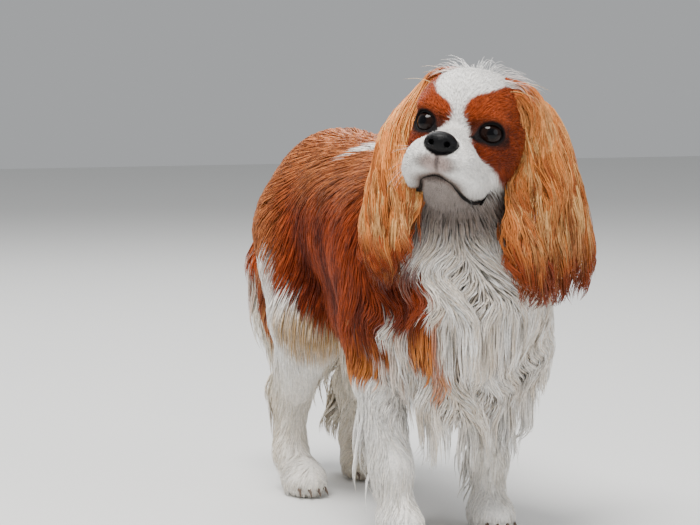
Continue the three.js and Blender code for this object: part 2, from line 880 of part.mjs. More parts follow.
for (const [name, s] of Object.entries(SIDES)) {
  const [x, y] = s > 0 ? FORE_PAWS.left : FORE_PAWS.right;
  const foreGrid = [
    marks([x - 44, x + 54], [8.5]),
    marks([y - 40, y + 84], [9]),
    marks([-14, 40, 190], [7, 17]),
  ];
  const fore = foreLegField(s, 0);
  const foreLocks = made(foreRows(s));
  const foreLeg = keep(build(fore, foreGrid), forePlane);
  nodes["foreleg_" + name] = drop(foreLeg, pawPlane)
    .add(foreLocks.locks)
    .subtract(torsoLocks.space);
  nodes["forepaw_" + name] = keep(keep(foreLeg, pawPlane), floor);
  torso = torso
    .subtract(
      cover(fore, foreGrid).intersect(beyond([0, 0, forePlane[0][2] + NODE_GAP / 2], [0, 0, -1])),
    )
    .subtract(foreLocks.space);

  const reach = s > 0 ? LEFT_HIND_REACH : 0;
  const hindGrid = [
    s > 0 ? marks([1, 100], [8.5]) : marks([-100, -1], [8.5]),
    marks([66 + 0.3 * reach, 220 + reach], [9.5]),
    marks([-14, 40, 190], [7, 15]),
  ];
  const hindLocks = made(hindRows(s));
  const hindLeg = keep(build(body, hindGrid), shankPlane(s)).intersect(middleLine(s));
  nodes["hindleg_" + name] = drop(hindLeg, pawPlane)
    .add(hindLocks.locks)
    .subtract(torsoLocks.space);
  nodes["hindpaw_" + name] = keep(keep(hindLeg, pawPlane), floor);
  const [point, normal] = shankPlane(s);
  const below = beyond(shifted(point, normal, -NODE_GAP / 2), normal);
  torso = torso
    .subtract(
      below.intersect(beyond([0, 62, 0], [0, 1, 0])).intersect(beyond([0, 0, 0], [s, 0, 0])),
    )
    .subtract(hindLocks.space);
  nodes["ear_" + name] = dogCovers.reduce((ear, tool) => ear.subtract(tool), earFlap(EARS[name]));
}
nodes.torso = torso.add(torsoLocks.locks).subtract(neckLocks.space);
nodes.tail = build(tailCore, [
  marks([-60, 28], [11]),
  marks([158, 256], [11]),
  marks([76, 336], [14]),
])
  .add(made(tailRows()).locks)
  .subtract(dogCovers[2])
  .subtract(torsoLocks.space);

const COLOURS = {
  chestnut: new THREE.MeshStandardMaterial({ color: 0x9a4a22, roughness: 0.6, metalness: 0 }),
  golden: new THREE.MeshStandardMaterial({ color: 0xb8703a, roughness: 0.6, metalness: 0 }),
  white: new THREE.MeshStandardMaterial({ color: 0xe4dfd6, roughness: 0.7, metalness: 0 }),
  black: new THREE.MeshStandardMaterial({ color: 0x121214, roughness: 0.35, metalness: 0 }),
};
const colourOf = (name) => {
  if (name === "torso") return COLOURS.chestnut;
  if (/^ear|^tail/.test(name)) return COLOURS.golden;
  return /^eye|^nose/.test(name) ? COLOURS.black : COLOURS.white;
};

const dog = new THREE.Group();
for (const [name, piece] of Object.entries(nodes)) {
  const { vertProperties, triVerts } = largest(piece).getMesh();
  const geometry = new THREE.BufferGeometry();
  geometry.setAttribute("position", new THREE.BufferAttribute(vertProperties, 3));
  geometry.setIndex(new THREE.BufferAttribute(triVerts, 1));
  geometry.computeVertexNormals();
  const mesh = new THREE.Mesh(geometry, colourOf(name));
  mesh.name = name;
  dog.add(mesh);
}

// The origin is on the floor, under the middle of the box round the dog.
const box = new THREE.Box3().setFromObject(dog);
const middle = box.getCenter(new THREE.Vector3());
dog.position.set(-middle.x, -middle.y, -box.min.z);

export default dog;
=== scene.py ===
"""Cavalier King Charles spaniel, life size, standing with its head turned to its right.

The shape is worked out in millimetres in the dog's own frame: it faces -Y, its left is at +X and
the floor is at z 0. MM_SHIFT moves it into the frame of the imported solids, in metres. The head is
worked out in a frame of its own, which lies between the eyes.
"""
import math

import bpy
import numpy as np
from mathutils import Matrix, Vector


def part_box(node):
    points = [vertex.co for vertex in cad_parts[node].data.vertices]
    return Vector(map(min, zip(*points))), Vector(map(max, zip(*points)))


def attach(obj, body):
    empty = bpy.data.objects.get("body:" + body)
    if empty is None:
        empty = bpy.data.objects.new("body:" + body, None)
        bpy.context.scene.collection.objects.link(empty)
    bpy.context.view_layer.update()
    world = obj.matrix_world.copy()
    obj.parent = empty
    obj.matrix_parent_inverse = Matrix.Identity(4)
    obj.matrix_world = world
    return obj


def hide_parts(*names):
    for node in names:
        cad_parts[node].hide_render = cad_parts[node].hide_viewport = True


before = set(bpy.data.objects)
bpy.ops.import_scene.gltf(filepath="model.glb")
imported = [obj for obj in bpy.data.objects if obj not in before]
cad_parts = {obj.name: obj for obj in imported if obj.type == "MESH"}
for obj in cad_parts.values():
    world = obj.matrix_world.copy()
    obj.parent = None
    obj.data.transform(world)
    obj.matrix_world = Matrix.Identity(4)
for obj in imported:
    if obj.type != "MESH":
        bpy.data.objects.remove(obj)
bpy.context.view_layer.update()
rng = np.random.default_rng(11)

# ---------------- driving dimensions, mm
BACK_HEIGHT = 336
RIB_HALF_WIDTH = 78
RIB_HALF_DEPTH = 90
SHOULDER_Y = -88
HIP_Y = 120
SWAY = 8
FORE_PAWS = {1: (52, -96), -1: (-37, -108)}
HIND_PAW = (41, 116)
LEFT_HIND_REACH = 62
EYE_HALF_SPACING = 25.5
EYE_BALL = 11.3  # radius of an eyeball
EYE_OPEN = (9.7, 8.1)  # half width and half height between the lids
EYE_IN = 1.6  # how far the balls are set in
GAZE_OUT = math.radians(26)
HEAD_AT = np.array([-17.5, -184.5, 349.0])
YAW, PITCH, ROLL = (math.radians(a) for a in (-37, -10, 10))
SIDES = {1: "left", -1: "right"}
FULL_TURN = 2 * math.pi
ANY_PHASE = 6.28  # phases are drawn from 0 to this
ACROSS_VIEW = np.array([0.934, -0.358, 0])  # to the right in the photo
TO_CAMERA = np.array([-0.358, -0.934, 0])


def unit(v):
    return v / np.maximum(np.linalg.norm(v, axis=-1, keepdims=True), 1e-9)


def turn(axis, angle):
    """Matrix of a turn about the axis of that number."""
    i, j = (axis + 1) % 3, (axis + 2) % 3
    m = np.eye(3)
    m[i, i] = m[j, j] = math.cos(angle)
    m[i, j], m[j, i] = -math.sin(angle), math.sin(angle)
    return m


def columns(*parts):
    return np.stack(np.broadcast_arrays(*parts), 1).astype(float)


def angles(count):
    return np.arange(count) / count * FULL_TURN


def smooth(x, low, high):
    """0 at low, 1 at high, with an easy slope between them."""
    t = np.clip((x - low) / (high - low), 0, 1)
    return t * t * (3 - 2 * t)


HEAD_TURN = turn(2, YAW) @ turn(0, PITCH) @ turn(1, ROLL)


def to_head(p):
    return (p - HEAD_AT) @ HEAD_TURN


def from_head(p):
    return np.asarray(p, float) @ HEAD_TURN.T + HEAD_AT


# ---------------- fields: distance to a surface
def lump(centre, radii, tilt=None):
    centre, radii = np.array(centre, float), np.array(radii, float)

    def field(p):
        d = p - centre if tilt is None else (p - centre) @ tilt
        near = np.linalg.norm(d / radii, axis=1)
        slope = np.linalg.norm(d / radii**2, axis=1)
        return near * (near - 1) / np.maximum(slope, 1e-6)

    return field


def limb(a, b, ra, rb, wide=1.0):
    a, b = np.array(a, float), np.array(b, float)
    along = b - a

    def field(p):
        d = p - a
        t = np.clip(d @ along / (along @ along), 0, 1)
        off = d - t[:, None] * along
        off[:, 0] /= wide
        return np.linalg.norm(off, axis=1) - (ra + t * (rb - ra))

    return field


def nearer(d, e, width):
    """The smaller of two distances, rounded where they are about the same."""
    h = np.maximum(width - np.abs(d - e), 0)
    return np.minimum(d, e) - h * h / (4 * width)


def join(fields, width):
    def field(p):
        d = fields[0](p)
        for other in fields[1:]:
            d = nearer(d, other(p), width)
        return d

    return field


def carve(base, tool, width):
    return lambda p: -nearer(-base(p), tool(p), width)


def slope_of(field, p, step=0.5):
    return unit(columns(*(field(p + e) - field(p - e) for e in step * np.eye(3))))


def between(core, tips, reach):
    """Sizes between those of the skin at reach 0 and those of the coat's tips at reach 1."""
    return [c + reach * (t - c) for c, t in zip(core, tips)]


# ---------------- the dog's own shape
def trunk_field(reach):
    top = BACK_HEIGHT
    parts = [
        lump((4, -50, top - RIB_HALF_DEPTH), (RIB_HALF_WIDTH, 116, RIB_HALF_DEPTH)),
        lump((0, 50, top - 76), (70, 108, 76)),
        lump((0, HIP_Y + 2, top - 72), (65, 78, 72)),
        lump((SWAY + 4, -126, 218), between((64, 47, 76), (70, 57, 84), reach)),
        lump((2, -10, 178), between((50, 98, 34), (54, 104, 50), reach)),
        lump((SWAY + 58, SHOULDER_Y, 205), between((31, 50, 78), (35, 52, 80), reach)),
        lump((SWAY + 62, SHOULDER_Y, 152), between((26, 36, 40), (36, 46, 60), reach)),
        lump((SWAY - 56, SHOULDER_Y, 214), between((26, 48, 76), (29, 50, 78), reach)),
        lump((SWAY + 4, -116, 138), between((38, 28, 28), (48, 38, 70), reach)),
    ]
    parts += [limb((s * 32, HIP_Y, 246), (s * 44, 84, 176), 46, 36) for s in SIDES]
    return join(parts, 26)


def neck_field(reach):
    nape, throat, chest = between((60, 32, 45), (66, 38, 56), reach)
    parts = [
        limb((6, -82, 272), (2, -132, 322), nape, 46),
        limb((-8, -150, 300), (6, -148, 216), throat, chest),
    ]
    return join(parts, 26)


def foreleg_field(s, reach):
    x, y = FORE_PAWS[s]
    elbow, wrist = (SWAY + s * 54, -78, 140), (x + s * 2, y + 12, 60)
    feather = between((11, 12, 52), (13, 32, 68), reach)
    parts = [
        limb((SWAY + s * 56, -78, 180), elbow, 32, 23),
        limb(elbow, wrist, 22, 16),
        limb(wrist, (x, y + 6, 24), 16, 14.5),
        lump((x + s * 6, y + 32, 92), feather, turn(0, math.radians(-8))),
        lump((x, y, 14), (20, 28, 17)),
    ]
    return join(parts, 12)


def hindleg_field(s, reach):
    back = LEFT_HIND_REACH if s > 0 else 0
    x, y = HIND_PAW
    knee = (s * 46, 86 + 0.25 * back, 170 - 0.06 * back)
    hock = (s * (x + 2), y + 32 + back, 92 - 0.04 * back)
    foot = (s * (x + 4), y + 30 + back, 36)
    feather = between((22, 22, 48), (28, 36, 62), reach)
    parts = [
        limb((s * 32, HIP_Y + 4, 240), knee, 46, 34),
        limb(knee, hock, 34, 17),
        limb(hock, foot, 17, 14),
        limb(foot, (s * x, y + 6 + back, 18), 14, 14),
        lump((s * 40, HIP_Y + 42 + 0.4 * back, 184), feather),
        lump((s * x, y + back, 14), (20, 27, 17)),
    ]
    return join(parts, 16)


def body_field(reach):
    hind = [hindleg_field(s, reach) for s in SIDES]
    return join([trunk_field(reach), neck_field(reach)] + hind, 18)


def coat_field(reach):
    """Body and forelegs together."""
    fore = [foreleg_field(s, reach) for s in SIDES]
    return join([body_field(reach)] + fore, 10)


def cranium_field():
    parts = [
        lump((0, 46, 12), (47, 54, 44)),
        lump((0, 14, 21), (38, 29, 29)),
        lump((0, 40, -16), (41, 44, 33)),
    ]
    for s in SIDES:
        parts.append(lump((s * 22, 5, 15), (15, 13, 12)))
        parts.append(lump((s * 29, 24, -16), (15, 32, 24)))
    return join(parts, 12)


def muzzle_field():
    parts = [limb((0, 6, -20), (0, -32, -26), 24, 17, 1.2)]
    for s in SIDES:
        parts.append(lump((s * 13.5, -31, -31.5), (16, 19, 16)))
        parts.append(lump((s * 22, -9, -39), (13.5, 30, 16)))
    return join(parts, 8)


jaw_parts = [
    limb((0, -27, -43), (0, -4, -46), 12, 16, 1.45),
    limb((0, -4, -46), (0, 34, -42), 16, 26, 1.2),
]
jaw_field = join(jaw_parts, 8)

# Directions of an eye in the head: across it, into the head and up.
LOOK = {s: turn(2, s * GAZE_OUT) for s in SIDES}
BALL_AT = {s: np.array([s * EYE_HALF_SPACING, 0, 0]) + EYE_IN * LOOK[s][:, 1] for s in SIDES}
NOSE_AT = (0, -44, -18.8)

face_join = join([cranium_field(), muzzle_field()], 9)
for s, look in LOOK.items():
    lid = lump(BALL_AT[s], (EYE_BALL + 1.5,) * 3)
    opening = lump(BALL_AT[s] - 9 * look[:, 1], (EYE_OPEN[0], 7.5, EYE_OPEN[1]), look)
    brow = lump((s * 25, -3, 13.5), (13, 8, 6))
    face_join = carve(join([face_join, lid, brow], 5), opening, 1.2)


def eye_measure(q, wide=1.0):
    """1 at the edge of the opening between the lids, more outside it."""
    best = np.full(len(q), 9.0)
    for s in SIDES:
        d = (q - BALL_AT[s]) @ LOOK[s]
        reach = np.hypot(d[:, 0] / (wide * EYE_OPEN[0]), d[:, 2] / EYE_OPEN[1])
        best = np.minimum(best, np.where(d[:, 1] < 0, reach, 9))
    return best


def nose_measure(q, depth):
    """1 round the nose leather, more outside it."""
    return np.linalg.norm((q - NOSE_AT) / (14.5, depth, 10.5), axis=1)


TAIL = [(0, 180, 304), (-10, 210, 286), (-28, 226, 248), (-36, 228, 205), (-31, 230, 160)]
TAIL = np.array(TAIL + [(-14, 232, 116), (0, 232, 84)], float)


def tail_field(radii):
    stops = list(zip(TAIL, radii))
    return join([limb(a, b, ra, rb) for (a, ra), (b, rb) in zip(stops[:-1], stops[1:])], 10)


TAIL_TIPS = tail_field((16, 18, 21, 23, 24, 21, 9))
TAIL_SKIN = tail_field((12, 9, 7, 6, 5, 4))
HEAD_JOIN = join([face_join, jaw_field], 1.5)
CORE_TRUNK = body_field(0)
CORE = coat_field(0)
TIPS = coat_field(1)
NECK_BLEND = 12
TAIL_BLEND = 10
SKIN_LOWEST = 0.8  # the pads stay clear of the floor


def head_field(p):
    return HEAD_JOIN(to_head(p))


def over_all(p):
    """Distance to the tips of the whole coat without ears and tail."""
    return nearer(TIPS(p), head_field(p), NECK_BLEND)


def head_share(p):
    """0 on the body, 1 on the head."""
    return smooth(CORE(p) - head_field(p), -12, 14)


def skin_depth(p):
    """How deep the skin lies under the tips of a short coat."""
    q, head = to_head(p), head_share(p)
    face = 0.3 + smooth(eye_measure(q), 1.3, 2.0) * (0.9 + 1.6 * smooth(q[:, 1], 5, 50))
    return head * face + (1 - head) * (1.8 + 1.8 * smooth(p[:, 2], 60, 175))


def skin_field(p):
    d = nearer(CORE(p), head_field(p), NECK_BLEND) + skin_depth(p)
    return np.maximum(nearer(d, TAIL_SKIN(p), TAIL_BLEND), SKIN_LOWEST - p[:, 2])


# ---------------- surfaces
def steps(stops, sizes):
    """Grid marks through the stops, about a size apart between each two of them."""
    out = [np.array([stops[0]])]
    for a, b, size in zip(stops[:-1], stops[1:], sizes):
        count = max(1, round((b - a) / size))
        out.append(a + (b - a) * np.arange(1, count + 1) / count)
    return np.concatenate(out)


def sample(field, xs, ys, zs):
    """Field on a grid, looked at closely only in blocks that the surface can reach."""
    block = 4
    marks = [xs, ys, zs]
    middle = [m[np.minimum(np.arange(0, len(m), block) + block // 2, len(m) - 1)] for m in marks]
    ends = [m[np.minimum(np.arange(0, len(m), block) + block, len(m) - 1)] for m in marks]
    half = [end - centre for end, centre in zip(ends, middle)]
    grid = np.stack(np.meshgrid(*middle, indexing="ij"), -1).reshape(-1, 3)
    reach = np.linalg.norm(np.stack(np.meshgrid(*half, indexing="ij"), -1).reshape(-1, 3), axis=1)
    value = field(grid)
    shape = [len(m) for m in middle]
    near = (np.abs(value) < 2 * reach + 6).reshape(shape)
    value = value.reshape(shape)
    for axis, m in enumerate(marks):
        value = np.repeat(value, block, axis).take(np.arange(len(m)), axis)
        near = np.repeat(near, block, axis).take(np.arange(len(m)), axis)
    i, j, k = np.nonzero(near)
    close = np.stack([xs[i], ys[j], zs[k]], 1)
    value[near] = np.concatenate([field(part) for part in np.array_split(close, 24)])
    return value


def polygonise(field, marks, polish=2):
    """Quads on the zero surface of a field, by surface nets, moved onto it along its slope."""
    xs, ys, zs = marks
    nx, ny, nz = len(xs), len(ys), len(zs)
    value = sample(field, xs, ys, zs)
    inner = value < 0
    corners = np.array([(i, j, k) for i in (0, 1) for j in (0, 1) for k in (0, 1)])
    count = np.zeros((nx - 1, ny - 1, nz - 1), np.int8)
    for i, j, k in corners:
        count += inner[i : nx - 1 + i, j : ny - 1 + j, k : nz - 1 + k]
    cells = np.argwhere((count > 0) & (count < 8))
    total, hits = np.zeros((len(cells), 3)), np.zeros(len(cells))
    place = columns(*(m[i] for m, i in zip(marks, cells.T)))
    size = columns(*(m[i + 1] for m, i in zip(marks, cells.T))) - place
    pairs = [(a, a | bit) for a in range(8) for bit in (4, 2, 1) if not a & bit]
    for ca, cb in corners[np.array(pairs)]:  # the twelve edges of a cell
        va, vb = (value[tuple((cells + c).T)] for c in (ca, cb))
        cross = (va < 0) != (vb < 0)
        t = np.where(cross, va / np.where(cross, va - vb, 1), 0)
        total += np.where(cross[:, None], ca + t[:, None] * (cb - ca), 0)
        hits += cross
    verts = place + size * total / hits[:, None]
    index = np.full((nx - 1, ny - 1, nz - 1), -1)
    index[tuple(cells.T)] = np.arange(len(cells))
    faces = []
    for axis in range(3):
        u, v = (axis + 1) % 3, (axis + 2) % 3
        edges = np.argwhere(np.diff(inner, axis=axis))
        edges = edges[(edges[:, u] > 0) & (edges[:, v] > 0)]
        edges = edges[(edges[:, u] < value.shape[u] - 1) & (edges[:, v] < value.shape[v] - 1)]
        eu, ev = np.eye(3, dtype=int)[[u, v]]
        quad = np.stack([index[tuple((edges - o).T)] for o in (eu + ev, ev, 0 * eu, eu)], 1)
        leaving = inner[tuple(edges.T)]
        quad[~leaving] = quad[~leaving][:, ::-1]
        faces.append(quad)
    for _ in range(polish):
        step = np.clip(field(verts), -1.0, 1.0)
        verts = verts - slope_of(field, verts) * step[:, None]
    return verts, np.concatenate(faces)


def face_normals(verts, faces):
    a, b, c, d = (verts[faces[:, i]] for i in range(4))
    n = np.cross(c - a, d - b)
    return unit(n), np.linalg.norm(n, axis=1) / 2


def scatter(verts, faces, weight, count):
    """Random places on quads, denser where the weight is higher."""
    share = face_normals(verts, faces)[1] * weight
    pick = rng.choice(len(faces), size=count, p=share / share.sum())
    u, v = rng.random((2, count, 1))
    a, b, c, d = (verts[faces[pick, i]] for i in range(4))
    return (a * (1 - u) + b * u) * (1 - v) + (d * (1 - u) + c * u) * v


# ---------------- colours
def srgb(r, g, b):
    c = np.array([r, g, b]) / 255
    return np.where(c <= 0.04045, c / 12.92, ((c + 0.055) / 1.055) ** 2.4)


WHITE = srgb(248, 246, 243)
CREAM = srgb(226, 208, 176)
CHESTNUT = srgb(164, 69, 30)
DARK_RED = srgb(86, 28, 11)
ORANGE = srgb(172, 78, 34)
GOLD = srgb(238, 156, 80)
PALE_GOLD = srgb(253, 208, 138)
SHADE_BROWN = srgb(46, 24, 18)
BLACK = srgb(16, 12, 13)
PINK = srgb(206, 176, 168)
TAN = srgb(206, 130, 78)  # where the saddle catches the light
SHADED_BUFF = srgb(188, 152, 100)  # cream hair darkened by painted shade, between the flank and the thigh and on the chest
SHADED = srgb(108, 88, 78)  # painted shade round the lips, on the chin and below it, partly the greyer hair there


def waves(p, scale, seed):
    """Smooth noise from -1 to 1."""
    r = np.random.default_rng(seed)
    total = np.zeros(len(p))
    for _ in range(6):
        k = r.normal(size=3) / scale
        total += np.sin(p @ k + r.uniform(0, ANY_PHASE))
    return total / 3.2


def ramp(x, pairs):
    return np.interp(x, *zip(*pairs))


def blend(a, b, share):
    return a + (b - a) * np.reshape(share, (-1, 1))


# Edges of the white blaze and of the chestnut patches, in the head's own millimetres.
BLAZE_LEFT = [(-30, 20), (-12, 17), (-5, 12), (3, 8), (12, 4), (17, 4), (23, 7), (27, 11)]
BLAZE_LEFT += [(32, 20), (37, 25), (46, 30)]
BLAZE_RIGHT = [(-30, 24), (-12, 20), (-6, 15), (-1, 9), (5, 6), (11, 5), (16, 7), (20, 13)]
BLAZE_RIGHT += [(24, 22), (32, 27), (46, 24)]
BLAZE_CROWN = [(10, 60), (22, 31), (42, 24), (60, 15), (80, 3), (95, -6)]
PATCH_LOW = [(-34, 6), (-27, -4), (-24, -11), (-19, -21), (-2, -29), (22, -35), (34, -48)]
PATCH_LOW += [(48, -90)]


def red_on_head(q):
    """Positive in the chestnut patches, in millimetres from their edge."""
    x, y, z = q.T
    blaze = np.where(x > 0, ramp(z, BLAZE_LEFT), ramp(z, BLAZE_RIGHT))
    blaze = np.where(y > 10, np.minimum(blaze, ramp(y, BLAZE_CROWN)), blaze)
    return np.minimum(np.abs(x) - blaze, 0.9 * (z - ramp(y, PATCH_LOW)))


# Edges of the chestnut saddle: lowest z at each y, and foremost y at each z. Behind, both sides
# share their edge.
LOW_RUMP = [(106, 232), (135, 247), (230, 252)]
LOW_RIGHT = [(-110, 134), (-50, 138), (20, 148), (40, 166), (50, 184), (66, 198), (88, 216)]
LOW_RIGHT += LOW_RUMP
LOW_LEFT = [(-60, 214), (-30, 170), (0, 150), (40, 166), (64, 190), (88, 208), (106, 228)]
LOW_LEFT += LOW_RUMP[1:]
FRONT_RIGHT = [(133, -101), (158, -116), (182, -127), (205, -138), (225, -150), (300, -132)]
FRONT_LEFT = [(170, -20), (215, -66), (250, -112)]
# Strokes of one colour: places with the radius there.
TONGUE = [((-58, -154, 224), 24), ((-46, -157, 188), 18), ((-35, -151, 164), 14)]
TONGUE += [((-25, -148, 144), 10), ((-14, -150, 124), 6)]
EYE_CORNERS = [((14.5, -15, -7), 1.2), ((21, -10, -4.5), 5.0), ((31, -6, -1), 5.0)]
EYE_CORNERS += [((37.5, -3, 1), 1.0)]
NOWHERE = -99  # for a place far outside a marking
NAPE_SPOT = [((-46, 14, 316), 1.5), ((-24, -10, 329), 7), ((-16, -46, 328), 9)]
FLANK_SLIT = [((-77, -100, 190), 1.5), ((-70, -107, 168), 4.5), ((-60, -106, 146), 3.5)]


def blot(p, stops):
    """Positive inside a tapering stroke through stops of place and radius."""
    inside = np.full(len(p), -1e3)
    for (a, ra), (b, rb) in zip(stops[:-1], stops[1:]):
        inside = np.maximum(inside, -limb(a, b, ra, rb)(p))
    return inside


def red_on_body(p):
    """Positive in the chestnut saddle, on the rear of the right thigh and in the chest's tongue."""
    x, y, z = p.T
    right = x < 0
    low = np.where(right, ramp(y, LOW_RIGHT), ramp(y, LOW_LEFT))
    front = np.where(right, ramp(z, FRONT_RIGHT), ramp(z, FRONT_LEFT))
    belly = np.abs(x) - 34 + np.clip(z - 150, 0, 90)
    saddle = np.minimum(np.minimum(z - low, y - front), belly)
    breech = np.maximum(np.where(right, -p @ ACROSS_VIEW - 109, NOWHERE), y - 146)
    breech = np.where(y > 120, np.minimum(breech, 0.7 * (z - 138)), NOWHERE)
    red = np.maximum(np.maximum(saddle, blot(p, TONGUE)), breech)
    return np.minimum(red, -np.maximum(blot(p, NAPE_SPOT), blot(p, FLANK_SLIT)))


def head_red(q, tone):
    """Bright over the brows, deeper on the cheeks and nearly black round the lids."""
    x, y, z = q.T
    e = eye_measure(q, 1.4)
    colour = blend(DARK_RED, CHESTNUT, np.clip(0.62 + 0.5 * tone, 0, 1))
    brow = smooth(z, 4, 12) * smooth(y, 34, 8)
    colour = blend(colour, ORANGE, np.clip(0.4 * brow + 0.3 * smooth(y, 16, 44), 0, 0.9))
    colour = blend(colour, DARK_RED, 0.45 * smooth(z, -2, -16))
    shade = smooth(e, 1.9, 1.05) * (0.6 + 0.4 * smooth(z, 8, -4))
    return blend(colour, SHADE_BROWN, np.clip(shade, 0, 1) * 0.95)


def body_red(p, tone):
    """Lighter on the back and rump, and golden at the ends low down."""
    y, z = p[:, 1], p[:, 2]
    bands = waves(p * (1, 1, 0.28), 13, 5)
    colour = blend(DARK_RED, CHESTNUT, np.clip(0.47 + 0.3 * bands + 0.34 * tone, 0, 1.1))
    # painted sheen: the back and rump lightened towards tan where they catch the light
    back = smooth(z, 268, 322) * smooth(y, -130, -70)
    rump = 1.25 * smooth(y, 70, 130) * smooth(z, 180, 235)
    colour = blend(colour, TAN, np.clip(np.maximum(back, rump) * (0.62 + 0.3 * tone), 0, 0.9))
    tongue = smooth(blot(p, TONGUE), -1, 6) * smooth(z, 200, 165)
    low = np.maximum(smooth(z, 190, 128), tongue)
    return blend(colour, GOLD, np.clip(0.7 * low * (0.7 + 0.6 * tone), 0, 0.85))


def white_coat(p, grain, head):
    """Cream on the rear, and buff, a cream darkened by painted shade, on the chest and between
    flank and thigh.
    """
    y, z = p[:, 1], p[:, 2]
    rear = smooth(y, 110, 170) * smooth(z, 245, 200)
    groin = smooth(z, 196, 168) * smooth(z, 118, 150) * smooth(y, -80, -40) * smooth(y, 92, 68)
    bib = 0.2 * smooth(y, -90, -130) * smooth(z, 60, 110) * (1 - head) * (1 + grain)
    cream = 0.12 + 0.16 * waves(p, 30, 7) + 0.14 * grain + 0.5 * rear
    pale = blend(WHITE, CREAM, np.clip(cream * (1 - 0.7 * head), 0, 1))
    # painted shade: the groin and the chest darkened towards buff
    return blend(pale, SHADED_BUFF, np.maximum(0.8 * groin * (1 + 0.3 * grain), bib))


def coat_colour(p, grain):
    """Colour of skin and coat at a place; grain from -1 to 1 varies it from tuft to tuft."""
    q, head = to_head(p), head_share(p)
    body = 1 - head
    red = head * red_on_head(q) + body * red_on_body(p)
    red = red + 2.4 * waves(p, 9, 3) * (1 - 0.7 * head) + 1.3 * grain
    share = smooth(red, -1.4, 1.8)
    chestnut = blend(body_red(p, grain), head_red(q, grain), head)
    colour = blend(white_coat(p, grain, head), chestnut, share)
    # painted shade below the head, round the lips, on the chin and under the nose, partly the
    # greyer hair round the mouth and on the chin
    under = smooth(p[:, 2], 248, 276) * smooth(p[:, 2], 316, 300) * smooth(p[:, 1], -100, -130)
    under = under * body
    x, y, z = q.T
    chin = face_join(q) - jaw_field(q)
    seam = np.abs(chin)
    painted_shade = np.maximum(smooth(seam, 11, 1) * smooth(y, 12, -8), 0.85 * smooth(chin, 0, 4))
    front = 0.7 * smooth(np.hypot(x / 19, (z + 35) / 9), 1.2, 0.6) * smooth(y, -34, -42)
    painted_shade = 0.95 * np.maximum(painted_shade, front) * head + 0.85 * under
    colour = blend(colour, SHADED, (1 - share) * np.clip(painted_shade, 0, 0.92))
    flush = smooth(np.hypot(x / 13, (z + 35) / 7), 1.3, 0.5) * smooth(y, -32, -44) * head
    colour = blend(colour, PINK, 0.5 * flush)
    # black skin of lips, lids and nose
    side = np.abs(x)
    lips = smooth(seam, 2.2, 0.8) * smooth(y, 20, 2) * (0.45 + 0.45 * smooth(side, 12, 22))
    groove = smooth(side, 2.8, 0.7) * smooth(y, -36, -42)
    groove = groove * smooth(z, -25, -29) * smooth(z, -42, -38)
    corners = smooth(blot(columns(side, y, z), EYE_CORNERS), -1.2, 0.4)
    rims = np.maximum(smooth(eye_measure(q), 1.34, 1.14), corners)
    pad = smooth(nose_measure(q, 13), 1.06, 0.98)
    dark = np.maximum.reduce([lips, 0.6 * groove, rims, pad])
    return blend(colour, BLACK, np.clip(dark, 0, 1) * head)


# ---------------- meshes
low_eye, high_eye = (np.array(c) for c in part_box("eye_left"))
MM_SHIFT = (low_eye + high_eye) / 2 - from_head((EYE_HALF_SPACING, 0, 0)) / 1000


def to_world(p):
    return np.asarray(p, float) / 1000 + MM_SHIFT


def quads(rows, sides, closed=False):
    """Faces of a tube of rows of points, which meets itself if closed."""
    i, j = np.meshgrid(np.arange(rows - (not closed)), np.arange(sides), indexing="ij")
    row, after = i * sides, (i + 1) % rows * sides
    j2 = (j + 1) % sides
    return np.stack([row + j, row + j2, after + j2, after + j], -1).reshape(-1, 4)


def add_object(name, data):
    obj = bpy.data.objects.new(name, data)
    bpy.context.scene.collection.objects.link(obj)
    return obj


def mesh_piece(name, verts, faces, material, colours=None, uvs=None, replaces=()):
    """A mesh from arrays; verts in millimetres, faces of one size, uvs per vertex."""
    faces = np.asarray(faces, np.int32)
    me = bpy.data.meshes.new(name)
    me.vertices.add(len(verts))
    me.vertices.foreach_set("co", to_world(verts).astype(np.float32).ravel())
    me.loops.add(faces.size)
    me.loops.foreach_set("vertex_index", faces.ravel())
    me.polygons.add(len(faces))
    me.polygons.foreach_set("loop_start", np.arange(0, faces.size, faces.shape[1], dtype=np.int32))
    me.polygons.foreach_set("use_smooth", np.ones(len(faces), bool))
    me.update(calc_edges=True)
    if colours is not None:
        attribute = me.color_attributes.new("coat", "FLOAT_COLOR", "POINT")
        rgba = np.ones((len(verts), 4), np.float32)
        rgba[:, :3] = colours
        attribute.data.foreach_set("color", rgba.ravel())
    if uvs is not None:
        layer = me.uv_layers.new(name="OFBake")
        layer.data.foreach_set("uv", uvs[faces.ravel()].astype(np.float32).ravel())
    me.materials.append(material)
    piece = add_object(name, me)
    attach(piece, "root")
    if replaces:
        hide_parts(*replaces)


# An unwrap of the skin: each part of the body is unrolled in six tiles, one a direction.
UNWRAP_BOX = np.array([(-115, -255, -5), (115, 255, 405)], float)


def part_of(p):
    """Number of the part: head, trunk, the four legs, tail."""
    x, y, z = p.T
    part = np.full(len(p), 1)
    part[head_share(p) > 0.5] = 0
    for s in SIDES:
        near_leg = foreleg_field(s, 0)(p) < CORE_TRUNK(p)
        part[(z < 150) & (y < 10) & (s * (x - SWAY) > 0) & near_leg] = 2 if s > 0 else 3
        part[(z < 150) & (y > 62) & (s * x > 0)] = 4 if s > 0 else 5
    part[(y > 205) & (TAIL_TIPS(p) < 6)] = 6
    return part


